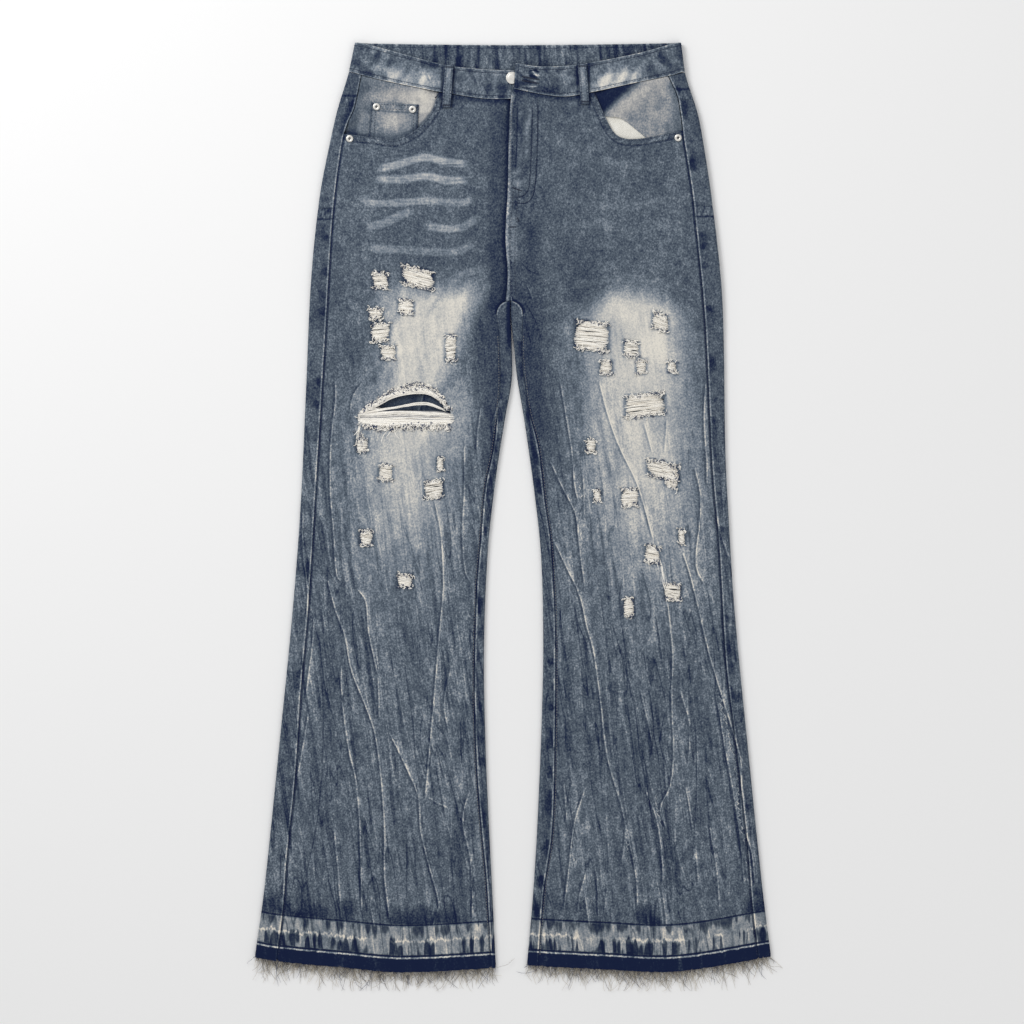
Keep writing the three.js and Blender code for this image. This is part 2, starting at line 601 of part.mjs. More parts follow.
const rivetProfile = [
  [0, 0], [RIVET.radius - 0.4, 0], [RIVET.radius, 0.4], [RIVET.radius - 0.7, RIVET.height],
  [1.6, RIVET.height], [1.2, 0.7], [0, 0.7],
];
const panelFace = topLevel(433) + DENIM / 2 + GAP;
const coinFace = coinGrid[0][1].z + DENIM / 2 + GAP;
addTurned('rivet_right_pocket', rivetProfile, 16, -186, 430.5, panelFace);
addTurned('rivet_left_pocket', rivetProfile, 16, 188, 431.5, panelFace);
addTurned('rivet_coin_outer', rivetProfile, 16, -155.5, 467, coinFace);
addTurned('rivet_coin_inner', rivetProfile, 16, -114.5, 464, coinFace);

export default jeans;
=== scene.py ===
import json
import math

import bpy
import numpy as np
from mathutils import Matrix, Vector, geometry, kdtree, noise
from mathutils.bvhtree import BVHTree

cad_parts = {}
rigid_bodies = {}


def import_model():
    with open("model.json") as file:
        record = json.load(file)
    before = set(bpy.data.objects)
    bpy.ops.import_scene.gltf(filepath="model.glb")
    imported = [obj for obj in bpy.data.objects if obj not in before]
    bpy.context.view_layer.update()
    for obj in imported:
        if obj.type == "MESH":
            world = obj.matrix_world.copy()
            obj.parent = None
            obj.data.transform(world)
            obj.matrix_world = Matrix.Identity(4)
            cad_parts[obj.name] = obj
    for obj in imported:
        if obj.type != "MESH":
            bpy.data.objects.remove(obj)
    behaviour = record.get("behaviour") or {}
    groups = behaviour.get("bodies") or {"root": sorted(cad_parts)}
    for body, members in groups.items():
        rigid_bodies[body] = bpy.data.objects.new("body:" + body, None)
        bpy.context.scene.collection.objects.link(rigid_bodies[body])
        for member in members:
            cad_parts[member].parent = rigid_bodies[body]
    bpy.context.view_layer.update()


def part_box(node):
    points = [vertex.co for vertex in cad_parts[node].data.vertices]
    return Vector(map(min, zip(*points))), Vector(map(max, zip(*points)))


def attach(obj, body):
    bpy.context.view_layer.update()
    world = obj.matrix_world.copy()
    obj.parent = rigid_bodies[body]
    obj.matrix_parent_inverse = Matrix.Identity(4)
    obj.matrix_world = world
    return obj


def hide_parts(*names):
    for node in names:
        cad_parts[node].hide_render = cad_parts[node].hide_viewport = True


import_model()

# Yokes, seats and back legs: the six back pieces of washed indigo twill. They are cut wider than
# the fronts, so they roll up over both edges of the flattened leg. A felled seam joins each yoke to
# its seat and each seat to its leg. Lengths are millimetres until a mesh is made.
DENIM = 1.1  # thickness of the twill
GAP = 0.3  # left between two pieces at a seam
RIM = 0.55  # share of the thickness that is left at a raw or turned edge
CENTRE_BACK = -2.5
CROTCH_X, CROTCH_Y, CROTCH_RADIUS = -3.7, 231, 15


def curve(*knots):
    """A smooth curve through pairs, as a function of the first of each pair."""
    at, value = np.array(sorted(knots), float).T
    width = np.diff(at)
    slope = np.empty(len(at))
    slope[0] = (value[1] - value[0]) / width[0]
    slope[-1] = (value[-1] - value[-2]) / width[-1]
    slope[1:-1] = (value[2:] - value[:-2]) / (at[2:] - at[:-2])

    def value_at(x):
        x = np.asarray(x, float)
        i = np.clip(np.searchsorted(at, x, side="right") - 1, 0, len(at) - 2)
        t = np.clip((x - at[i]) / width[i], 0, 1)
        rise = value[i + 1] - value[i]
        leaving = (1 - t) * (slope[i] * width[i] - rise)
        arriving = t * (slope[i + 1] * width[i] - rise)
        return value[i] + rise * t + t * (1 - t) * (leaving - arriving)

    return value_at


def ramp(x, start, end):
    t = np.clip((np.asarray(x, float) - start) / (end - start), 0, 1)
    return t * t * (3 - 2 * t)


def mix(a, b, share):
    return a + (b - a) * share


def spot(x, y, middle_x, middle_y, width, height):
    """A soft round patch: 1 in its middle, falling away over its width and height."""
    return np.exp(-(((x - middle_x) / width) ** 2) - ((y - middle_y) / height) ** 2)


def ripple(x, y, width, height, seed=0):
    """Smooth noise from -1 to 1, with hills of that width and height."""
    x, y = np.broadcast_arrays(np.asarray(x, float), np.asarray(y, float))
    points = zip(x.ravel() / width, y.ravel() / height)
    values = [noise.noise((a, b, 7.3 * seed)) for a, b in points]
    return np.array(values).reshape(x.shape)


RIGHT = {
    "name": "right",
    "out": -1,
    "outer_edge": curve(
        (540, -180), (507, -187), (467, -199), (433, -207), (366, -220), (270, -230), (140, -236),
        (13, -242), (-106, -251), (-267, -267), (-421, -283), (-502, -294),
    ),
    "outseam": curve(
        (502, -173), (465, -181), (449, -188), (430, -194), (347, -205), (196, -214.5), (11, -226),
        (-106, -233.5), (-196, -241.5), (-299, -248.5), (-386, -257.5), (-448, -262), (-502, -269),
    ),
    "inseam": curve(
        (231, -18.7), (207, -15.5), (156, -14), (133, -15.5), (77, -22), (34, -31), (-28, -36.5),
        (-84, -41), (-194, -43.5), (-284, -41), (-357, -35.5), (-414, -30), (-502, -24.5),
    ),
    "inner_edge": curve(
        (246, -2.65), (227, -2.65), (190, -1.2), (155, -1.5), (112, -9), (44, -19.5), (-38, -28.5),
        (-152, -33), (-266, -31), (-380, -26), (-502, -19.5),
    ),
    "waist_top": curve((-180, 540), (-168, 538.5), (-80, 515), (-46, 510.5), (1, 508), (30, 507.5)),
    "waist_seam": curve((-187, 507), (-153, 498), (-98, 486.5), (-66, 481), (-29, 476), (30, 477)),
    "mouth": curve(
        (-200, 437), (-192.5, 436), (-153.5, 431.5), (-137, 429), (-125.5, 432), (-111.5, 440),
        (-99.5, 452), (-90, 466.5), (-85, 483),
    ),
    "hem": curve((-294, -502), (-268, -506.5), (-189, -514), (-127, -519), (-20, -514)),
    "yoke_seam": 467.5,
    "seat_seam": 351,
}
LEFT = {
    "name": "left",
    "out": 1,
    "outer_edge": curve(
        (540, 191.5), (506, 196), (461, 210), (434, 215.5), (366, 226), (270, 237), (208, 240),
        (78, 242), (13, 245), (-106, 252.5), (-266, 268), (-421, 284), (-503, 294),
    ),
    "outseam": curve(
        (502, 177), (480, 187), (460, 191), (429, 195), (372, 204), (327, 209), (224, 219),
        (53, 227.5), (-33, 235), (-168, 243), (-241, 252), (-371, 267), (-444, 273), (-503, 280),
    ),
    "inseam": curve(
        (231, 11.3), (196, 10), (167, 11.5), (121, 18), (80, 28.5), (14, 36.5), (-23, 42),
        (-71, 45.5), (-128, 48), (-254, 47.5), (-357, 44.5), (-429, 34.5), (-508, 28),
    ),
    "inner_edge": curve(
        (246, -2.35), (227, -2.35), (190, 1.5), (160, 4.5), (106, 13.5), (23, 25), (-45, 32),
        (-140, 34.5), (-223, 33), (-346, 28), (-428, 23), (-508, 15.5),
    ),
    "waist_top": curve((3, 516), (33, 512.5), (74, 515), (141, 527.5), (180, 538), (191.5, 540)),
    "waist_seam": curve((1, 487.5), (33, 481), (60, 478.5), (90, 483.5), (141, 494.5), (196, 506)),
    "mouth": curve(
        (92.5, 484), (98, 471.5), (105, 455.5), (114, 439), (122, 432.5), (133.5, 430),
        (151.5, 431.5), (194, 440), (200, 441.5),
    ),
    "hem": curve((15.5, -511), (102, -515.5), (186, -518), (294, -501)),
    "yoke_seam": 475,
    "seat_seam": 354,
}


def back_waist_seam(x):
    return 506.5 - 3 * np.cos(np.asarray(x) / 400 * math.pi)


def ground_level(y):
    return 0.6 + 1.5 * ramp(y, 200, 225)


def top_level(y):
    return 4.6 + 1.6 * ramp(y, 195, 300) + 0.5 * ramp(y, 375, 410)


# Creases set by the wash, from the thigh to the hem. Each is how strong it is, then a line of points.
# A negative one is a dark groove with no pale crest.
CREASES = {
    "right": [
        (0.9, (-202, 156), (-202, 133), (-207, 86), (-208, 34), (-204, -19), (-200, -68), (-193, -77)),
        (0.8, (-169, 155), (-181, 139), (-186, 116)),
        (0.8, (-239, 11), (-239, -36), (-234, -80), (-234, -117)),
        (1.0, (-212, -68), (-202, -106), (-192, -133), (-184, -174), (-166, -220), (-157, -247),
         (-150, -299), (-146, -357), (-146, -408), (-140, -461)),
        (0.95, (-179, -80), (-168, -95), (-164, -133), (-154, -182), (-152, -232)),
        (0.9, (-195, -165), (-195, -202), (-186, -269), (-179, -299), (-174, -357), (-172, -450)),
        (0.9, (-89, 18), (-82, -19), (-79, -71), (-80, -95), (-84, -138), (-90, -211), (-100, -324)),
        (1.0, (-142, -243), (-122, -284), (-108, -318), (-105, -357), (-97, -391), (-84, -442), (-88, -455)),
        (0.8, (-227, -110), (-227, -133), (-234, -191), (-236, -211)),
        (0.5, (-218, -104), (-214, -127), (-217, -144)),
        (0.8, (-49, -310), (-57, -345), (-49, -386), (-46, -429), (-46, -459)),
        (0.8, (-204, -352), (-199, -403), (-195, -462)), (0.7, (-163, -438), (-157, -470)),
        (0.8, (-232, -220), (-239, -262), (-246, -300)), (0.6, (-100, -318), (-70, -334)),
        (0.7, (-70, -170), (-78, -214), (-72, -250)), (0.8, (-84, -442), (-92, -470)),
        (0.7, (-55, 84), (-55, 34), (-57, -19), (-54, -62), (-47, -78)),
        (0.9, (-36, 126), (-40, 94), (-41, 69)),
        (0.7, (-14, 136), (-24, 103)),
        (-0.7, (-124, -165), (-114, -237), (-110, -285), (-104, -312)),
        (-0.7, (-217, -187), (-216, -251), (-222, -340), (-236, -410)),
        (-0.8, (-88, -257), (-79, -301)),
        (-0.8, (-60, -240), (-58, -284)),
        (-0.7, (-121, -368), (-121, -437)),
        (-0.7, (-135, -368), (-124, -412)),
    ],
    "left": [
        (0.8, (98, 156), (108, 118), (121, 81), (140, 42), (148, 18), (161, -29)),
        (0.8, (54, 156), (61, 113), (67, 76), (71, 33), (76, 14)),
        (0.9, (41, 67), (57, 33), (71, 4), (76, -33), (82, -80)),
        (1.0, (46, -25), (61, -57), (76, -89), (85, -128), (92, -153), (100, -211), (108, -275),
         (122, -324), (133, -371), (141, -415), (142, -447)),
        (0.6, (80, 54), (82, -5)),
        (0.6, (149, 110), (160, 70)),
        (0.5, (176, 113), (173, 70)),
        (0.9, (220, 156), (218, 109), (221, 61), (221, 33)),
        (0.9, (207, 58), (214, 24), (213, -5), (209, -56), (220, -80)),
        (0.8, (231, 6), (237, -20), (244, -39), (249, -56)),
        (1.0, (193, -39), (201, -63), (210, -98), (223, -153), (235, -194), (253, -252), (260, -281),
         (261, -342), (273, -386), (276, -423)),
        (0.9, (176, -97), (182, -153), (181, -211), (183, -269), (179, -307), (168, -333), (176, -357)),
        (0.7, (190, -196), (201, -234), (201, -275)),
        (0.8, (233, -208), (241, -258), (250, -307), (259, -365), (264, -421)),
        (0.8, (150, -308), (163, -342), (170, -386), (171, -423)),
        (0.9, (83, -307), (70, -350), (64, -400), (58, -450)),
        (0.7, (85, -400), (76, -432), (74, -453)),
        (0.6, (108, -418), (104, -455)),
        (0.7, (144, -191), (160, -260)), (0.8, (96, -404), (98, -462)), (0.8, (58, -300), (62, -352)),
        (0.8, (196, -300), (206, -362), (212, -420)), (0.7, (170, -423), (176, -468)),
        (0.7, (224, -350), (232, -400), (236, -452)),
        (0.6, (118, -300), (128, -352), (124, -398)), (0.7, (82, -430), (88, -470)),
        (-0.8, (157, -206), (160, -249), (155, -278)),
        (-0.7, (208, -232), (209, -311), (204, -390)),
        (-0.7, (149, -150), (152, -183)),
        (-0.8, (112, -120), (124, -160), (128, -200)),
        (-0.7, (66, -300), (58, -350)),
    ],
}


def run_along(points):
    """How far along a path each of its points lies."""
    return np.concatenate([[0], np.cumsum(np.hypot(*np.diff(points, axis=0).T))])


def triple(first, second, third=0.0):
    """Three values at each point, in one."""
    return np.stack(np.broadcast_arrays(first, second, third), axis=-1)


def nearest_line(x, y, lines, reach=12, tip=9):
    """Signed distance from each point to the nearest of these lines, and that line's strength."""
    shape, x, y = x.shape, x.ravel(), y.ravel()
    distance = np.full(x.shape, 99.0)
    strength = np.zeros(x.shape)
    for line in lines:
        knots = np.array(line[1:], float)
        run = run_along(knots)
        count = max(4, int(run[-1] / 4))
        at = np.linspace(0, run[-1], count)
        path = np.stack([curve(*zip(run, knots[:, k]))(at) for k in (0, 1)], axis=1)
        low, high = path.min(0) - reach, path.max(0) + reach
        near = np.flatnonzero((x > low[0]) & (x < high[0]) & (y > low[1]) & (y < high[1]))
        if not len(near):
            continue
        start, step = path[:-1], np.diff(path, axis=0)
        to_x = x[near][:, None] - start[:, 0]
        to_y = y[near][:, None] - start[:, 1]
        along = np.clip((to_x * step[:, 0] + to_y * step[:, 1]) / (step**2).sum(1), 0, 1)
        off_x, off_y = to_x - along * step[:, 0], to_y - along * step[:, 1]
        away = np.hypot(off_x, off_y)
        k = away.argmin(1)
        row = np.arange(len(near))
        side = np.sign(off_x[row, k] * step[k, 1] - off_y[row, k] * step[k, 0])
        travelled = (k + along[row, k]) / (count - 1) * run[-1]
        ends = ramp(travelled, 0, tip) * ramp(run[-1] - travelled, 0, tip)
        ends = ends * (1 - ramp(away[row, k], 0.65 * reach, 0.9 * reach))
        closer = away[row, k] < np.abs(distance[near])
        chosen = near[closer]
        distance[chosen] = (np.where(side == 0, 1, side) * away[row, k])[closer]
        strength[chosen] = (line[0] * ends)[closer]
    return distance.reshape(shape), strength.reshape(shape)


def crease_fields(x, y, lines, groups=3):
    """The creases in groups that keep apart, so that their distances don't run together."""
    fields, ridge = {}, np.zeros(x.shape)
    for g in range(groups):
        distance, strength = nearest_line(x, y, lines[g::groups])
        fields["crease_" + "abc"[g]] = triple(distance, strength)
        ridge += strength * np.exp(-((distance / 2.2) ** 2))
    return fields, ridge


UNTOUCHED = {
    "fade": 0, "navy": 0, "bark": 0, "seam": 99, "hem": 999, "welt": (9, 0, 0), "whisker": (99, 0, 0),
    "crease_a": (99, 0, 0), "crease_b": (99, 0, 0), "crease_c": (99, 0, 0),
}


def paint(mesh, fields):
    """Stores what the wash, the seams and the painted shade do at each point of a mesh; the rest is left
    untouched.
    """
    count = len(mesh.vertices)
    for name, plain in UNTOUCHED.items():
        vector = isinstance(plain, tuple)
        value = fields.get(name)
        if value is None:
            value = np.tile(plain, (count, 1)) if vector else np.full(count, plain)
        kind, key = ("FLOAT_VECTOR", "vector") if vector else ("FLOAT", "value")
        layer = mesh.attributes.new(name, kind, "POINT")
        layer.data.foreach_set(key, np.asarray(value, np.float32).ravel())


def make_object(name, points, faces, fields, material):
    """A mesh object from millimetre points, with smooth faces and crisp rims."""
    mesh = bpy.data.meshes.new(name)
    mesh.from_pydata(np.asarray(points) * 0.001, [], faces)
    mesh.polygons.foreach_set("use_smooth", np.ones(len(mesh.polygons), bool))
    mesh.set_sharp_from_angle(angle=math.radians(50))
    if fields is not None:
        paint(mesh, fields)
    mesh.materials.append(material)
    made = bpy.data.objects.new(name, mesh)
    bpy.context.scene.collection.objects.link(made)
    return made


def stand_in(made, slot, *nodes):
    """Puts a finished piece in the place of the CAD pieces that it is."""
    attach(made, "root")
    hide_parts(*nodes)


def both_layers(fields):
    return {name: np.concatenate([value, value]) for name, value in fields.items()}


def woven(name, grid, thickness, fields, material):
    """A closed wall of cloth about a grid of points on its middle surface, thinner at its edges."""
    rows, columns = grid.shape[:2]
    facing = np.cross(np.gradient(grid, axis=1), np.gradient(grid, axis=0))
    facing /= np.maximum(np.linalg.norm(facing, axis=2, keepdims=True), 1e-9)
    half = np.full((rows, columns, 1), thickness / 2)
    half[[0, -1]] *= RIM
    half[:, [0, -1]] *= RIM
    points = np.concatenate([(grid + facing * half).reshape(-1, 3), (grid - facing * half).reshape(-1, 3)])
    ids = np.arange(rows * columns).reshape(rows, columns)
    quads = np.stack([ids[:-1, :-1], ids[1:, :-1], ids[1:, 1:], ids[:-1, 1:]], axis=-1).reshape(-1, 4)
    rim = np.concatenate([ids[0, :], ids[1:, -1], ids[-1, -2::-1], ids[-2:0:-1, 0]])
    after = np.roll(rim, -1)
    total = rows * columns
    walls = np.stack([rim, after, after + total, rim + total], axis=-1)
    faces = np.concatenate([quads, quads[:, ::-1] + total, walls])
    a, b, c, d = (points[faces[:, k]] for k in range(4))
    if (np.cross(b - a, c - a) * a + np.cross(c - a, d - a) * a).sum() < 0:
        faces = faces[:, ::-1]
    flat = {key: np.asarray(value).reshape(total, -1).squeeze() for key, value in fields.items()}
    return make_object(name, points, faces.tolist(), both_layers(flat), material)


def srgb(red, green, blue):
    """A shade as the eye names it, 0 to 255, for a shader's socket."""
    shade = [v / 255 for v in (red, green, blue)]
    return [v / 12.92 if v <= 0.04045 else ((v + 0.055) / 1.055) ** 2.4 for v in shade] + [1]


def put(socket, value):
    """Gives a node's socket a value of its own, or links it to another socket or to a tone."""
    value = getattr(value, "socket", value)
    if isinstance(value, bpy.types.NodeSocket):
        socket.id_data.links.new(value, socket)
    else:
        socket.default_value = value


def add_node(tree, kind, inputs=(), **settings):
    made = tree.nodes.new(kind)
    for key, value in settings.items():
        setattr(made, key, value)
    for key, value in dict(inputs).items():
        put(made.inputs[key], value)
    return made


class Tone:
    """A number that varies over a piece. Sums and products of tones become nodes of its material."""

    def __init__(self, socket):
        self.socket = socket

    def math(self, operation, *values):
        made = add_node(self.socket.id_data, "ShaderNodeMath", enumerate(values), operation=operation)
        return Tone(made.outputs[0])

    def __add__(self, other):
        return self.math("ADD", self, other)

    def __sub__(self, other):
        return self.math("SUBTRACT", self, other)

    def __rsub__(self, other):
        return self.math("SUBTRACT", other, self)

    def __mul__(self, other):
        return self.math("MULTIPLY", self, other)

    def __abs__(self):
        return self.math("ABSOLUTE", self)

    __radd__, __rmul__ = __add__, __mul__


def larger(tone, other):
    return tone.math("MAXIMUM", tone, other)


def band(tone, start, end, low=0.0, high=1.0):
    """Goes softly from low to high while the tone goes from start to end."""
    inputs = {"Value": tone, "From Min": start, "From Max": end, "To Min": low, "To Max": high}
    made = add_node(tone.socket.id_data, "ShaderNodeMapRange", inputs, interpolation_type="SMOOTHSTEP")
    return Tone(made.outputs["Result"])


def grain(place, scale, detail=2.0, roughness=0.5, distortion=0.0):
    """Random grain over some coordinates."""
    inputs = {"Vector": place, "Scale": scale, "Detail": detail, "Roughness": roughness}
    made = add_node(place.id_data, "ShaderNodeTexNoise", {**inputs, "Distortion": distortion})
    return Tone(made.outputs["Fac"])


def shaded(tone, *stops):
    """The shade that each tone has, by stops from 0 to 1."""
    made = add_node(tone.socket.id_data, "ShaderNodeValToRGB", {"Fac": tone})
    elements = made.color_ramp.elements
    while len(elements) < len(stops):
        elements.new(0.5)
    for element, (place, shade) in zip(elements, stops):
        element.position = place
        element.color = shade
    return made.outputs["Color"]


def stored(tree, name):
    """A value that paint() has left on the mesh."""
    return Tone(add_node(tree, "ShaderNodeAttribute", attribute_name=name).outputs["Fac"])


def stored_three(tree, name):
    vector = add_node(tree, "ShaderNodeAttribute", attribute_name=name).outputs["Vector"]
    return [Tone(part) for part in add_node(tree, "ShaderNodeSeparateXYZ", {"Vector": vector}).outputs]


def new_material(name):
    """A new material, its node tree and the place on the piece that its patterns read."""
    material = bpy.data.materials.new(name)
    material.use_nodes = True
    tree = material.node_tree
    return material, tree, add_node(tree, "ShaderNodeTexCoord").outputs["Object"]


def dress(tree, colour, roughness, height, strength, distance):
    """Gives a material its colour, its roughness and the relief of its surface."""
    skin = tree.nodes["Principled BSDF"].inputs
    relief = add_node(tree, "ShaderNodeBump", {"Height": height, "Strength": strength, "Distance": distance})
    put(skin["Base Color"], colour)
    put(skin["Roughness"], roughness)
    put(skin["Normal"], relief.outputs["Normal"])
    return skin


def washed_denim(name, lift=0.0, warmth=0.0, speckle=1.0, marble=0.4):
    """Indigo twill after a crinkle wash: one tone from raw navy to bleached, through one set of shades."""
    material, tree, place = new_material(name)
    x, y, z = (Tone(part) for part in add_node(tree, "ShaderNodeSeparateXYZ", {"Vector": place}).outputs)

    def stretched(across, along, shear=0.0, seed=0.0):
        """Coordinates for a pattern with hills that wide and long, in metres."""
        parts = {"X": (x + shear * y) * (1 / across), "Y": y * (1 / along), "Z": 60 * z + seed}
        return add_node(tree, "ShaderNodeCombineXYZ", parts).outputs[0]

    # The wash: flecks of the twill, soft mottling, long bark-like streaks below the knee, and fading.
    fleck = grain(stretched(0.0017, 0.002), 1.0, 2.0, 0.65)
    mottle = grain(stretched(0.009, 0.013, 0, 3), 1.0, 2.0, 0.55)
    cloud = grain(stretched(0.04, 0.08, 0, 5), 1.0, 2.0, 0.5)
    streak = grain(stretched(0.0062, 0.11, 0.13, 9), 1.0, 2.5, 0.55, 0.5)
    fibre = grain(stretched(0.0035, 0.02, 0.1, 12), 1.0, 2.0, 0.6)
    fine_line = grain(stretched(0.017, 0.16, 0.13, 15), 1.0, 1.5, 0.5, 0.5)
    bark, fade, navy = (stored(tree, key) for key in ("bark", "fade", "navy"))
    tone = 0.465 + lift + speckle * (fleck - 0.5) + marble * (mottle - 0.5) + 0.2 * (cloud - 0.5)
    hollows = band(streak, 0.44, 0.34) * band(cloud, 0.36, 0.56, 0.2, 1.0)
    dark_line = band(abs(fine_line - 0.41), 0.016, 0.003)
    thin_line = band(abs(fine_line - 0.5), 0.022, 0.003)
    grooves = 0.42 * (streak - 0.43) - 0.15 * hollows + 0.2 * (fibre - 0.5) - 0.22 * dark_line
    tone = tone + bark * (grooves + 0.12 * thin_line)
    tone = tone * (1 - 0.68 * fade) + fade * (0.24 * cloud + 0.1 * streak + 0.62)
    # Darkening from the stored navy: the wash's navy patches and painted shade alike. It acts only above
    # about half a millimetre from the floor, so none of it, the painted shadow inside the slash included,
    # shows on faces that rest on the floor.
    tone = tone - 0.38 * navy * (0.8 * mottle + 0.6) * band(z, 0.0003, 0.0008)
    height = 0.35 * fleck

    # Creases: a pale worn crest with a navy hollow along one side.
    for group in "abc":
        away, strength, _ = stored_three(tree, "crease_" + group)
        strength = strength * band(mottle, 0.3, 0.55, 0.7, 1)
        raised = larger(strength, 0.0)
        crest = band(abs(away), 1.05, 0.3) * strength
        hollow = band(away, 0.6, 1.5) * band(away, 4.2, 2.0) * raised
        glow = band(away, -7, -1) * band(away, 0.2, -0.4) * raised
        tone = tone + 0.26 * crest - 0.2 * hollow + 0.09 * glow
        height = height + 0.8 * crest
    away, strength, _ = stored_three(tree, "whisker")
    streaky = grain(stretched(0.03, 0.0022, 0, 21), 1.0, 2.0, 0.6)
    ragged = away + 4 * (mottle - 0.5)
    rubbed = band(abs(ragged), 6.2, 2.4) * strength * band(streaky, 0.25, 0.6, 0.45, 1.0)
    tone = tone + rubbed * (0.33 - 0.6 * (fleck - 0.5))

    # Seams: navy where the front dips to the stitching, pale on the back's ridge, blotches beside it.
    seam = stored(tree, "seam")
    wobble = seam + 1.6 * (mottle - 0.5)
    ridge = band(seam, 0.1, 0.5) * band(wobble, 2.4, 1.0)
    trench = band(seam, 0.1, -0.4) * band(wobble, -3.4, -1.4)
    blotch = grain(stretched(0.03, 0.021, 0, 31), 1.0, 1.5, 0.5)
    stain = band(seam, 1.0, 2.5) * band(wobble, 13.0, 5.0) * band(blotch, 0.5, 0.64)
    tone = tone + 0.26 * ridge - 0.36 * trench - 0.28 * stain

    # Welts, where cloth is turned in and stitched down: pale puckers between two navy lines.
    across, along, amount = stored_three(tree, "welt")
    inside = band(across, -0.12, 0.1) * band(across, 1.12, 0.9)
    pucker_place = add_node(tree, "ShaderNodeCombineXYZ", {"X": 0.3 * along, "Y": 0.9 * across, "Z": 41.0})
    pucker = grain(pucker_place.outputs[0], 1.0, 2.0, 0.6)
    lines = larger(band(abs(across - 1.08), 0.2, 0.04), band(abs(across + 0.1), 0.16, 0.04))
    tone = tone + amount * (inside * (1.35 * pucker - 0.68) - 0.34 * lines)
    height = height + inside * pucker * amount

    # Let-down hem: raw navy below the old fold, bleached above it, navy blotches from both lines.
    hem = stored(tree, "hem")
    drip = grain(stretched(0.0065, 0.05, 0, 51), 1.0, 1.5, 0.5)
    tatter = grain(stretched(0.004, 0.02, 0, 55), 1.0, 2.0, 0.6)
    wavy = hem + 2.6 * (tatter - 0.5)
    raw = band(wavy, 15.6, 14.6)
    thread_line = band(wavy, 14.4, 15.2) * band(wavy, 17.4, 16.4)
    lower_line = band(hem, 16.6, 17.2) * band(hem, 19.6, 18.6)
    upper_line = band(hem, 52.2, 52.8) * band(hem, 54.8, 54.0)
    turn_up = band(hem, 18.5, 20.5) * band(hem, 53.5, 50)
    gathered = drip + 0.7 * (cloud - 0.5)
    rising = band(gathered, 0.47, 0.57) * band(hem - 46 * drip, 10, 4)
    hanging = band(gathered, 0.52, 0.41) * band(hem - 40 * drip, 23, 31)
    above = band(hem, 54, 55.5) * band(hem, 84, 58) * band(cloud, 0.43, 0.56)
    squiggle = hem - 35.5 - 13 * (tatter - 0.5)
    bleached = band(abs(squiggle), 2.2, 0.5) * band(cloud, 0.38, 0.5)
    blotches = 0.2 - 0.5 * (fleck - 0.5) - 0.52 * rising - 0.4 * hanging + 0.22 * bleached
    tone = tone + turn_up * blotches - 0.36 * above - 0.58 * raw
    tone = tone + 0.3 * thread_line - 0.5 * lower_line - 0.42 * upper_line
    height = height - 0.8 * (upper_line + lower_line)

    shade = shaded(
        tone, (0.0, srgb(11, 26, 60)), (0.17, srgb(35, 48, 73)), (0.34, srgb(63, 74, 90)),
        (0.50, srgb(88, 99, 111)), (0.64, srgb(117 + warmth / 2, 128, 141 - warmth / 2)),
        (0.80, srgb(163 + warmth, 168, 173 - warmth)), (1.0, srgb(230, 225, 214)),
    )
    warmed = {0: 0.8 * turn_up, 6: shade, 7: (1.06, 1.01, 0.95, 1)}
    warm = add_node(tree, "ShaderNodeMix", warmed, data_type="RGBA", blend_type="MULTIPLY")
    skin = dress(tree, warm.outputs[2], 0.88, height, 0.6, 0.0006)
    skin["Specular IOR Level"].default_value = 0.2
    return material


denim = washed_denim("washed denim")


def back_fade(x, y):
    """Where the backs are worn pale: the seats and behind the thighs and knees."""
    out = np.abs(x + 3)
    return 0.5 * spot(out, y, 105, 320, 70, 70) + 0.55 * spot(out, y, 120, 60, 60, 140)


STRIP, TURN = 8, 9  # points across the strip that shows on top, and round the rolled edge


def turned_row(side, y, end_x, y_top, y_ground, columns):
    """A row of a back piece, from its outseam over the outer edge and along the ground."""
    out = side["out"]
    radius = (top_level(y) - ground_level(y)) / 2
    edge = side["outer_edge"](y)
    centre = edge - out * (DENIM / 2 + radius)
    seam_x = side["outseam"](y_top(side["outseam"](y))) + out * GAP / 4
    strip = mix(seam_x, centre, np.linspace(0, 1, STRIP)[:-1])
    turn = np.radians(np.linspace(90, -90, TURN))
    ground = mix(centre, end_x, np.linspace(0, 1, columns)[1:])
    x = np.concatenate([strip, centre + out * radius * np.cos(turn), ground])
    z = np.concatenate([
        np.full(len(strip), top_level(y)),
        (top_level(y) + ground_level(y)) / 2 + radius * np.sin(turn),
        np.full(len(ground), ground_level(y)),
    ])
    under = np.concatenate([np.zeros(len(strip)), np.linspace(0, 1, TURN), np.ones(len(ground))])
    row = np.stack([x, mix(y_top(x), y_ground(x), under), z], axis=1)
    away = np.where(under < 0.7, np.abs(x - seam_x) + 4 * under, 99)
    return row, away, under


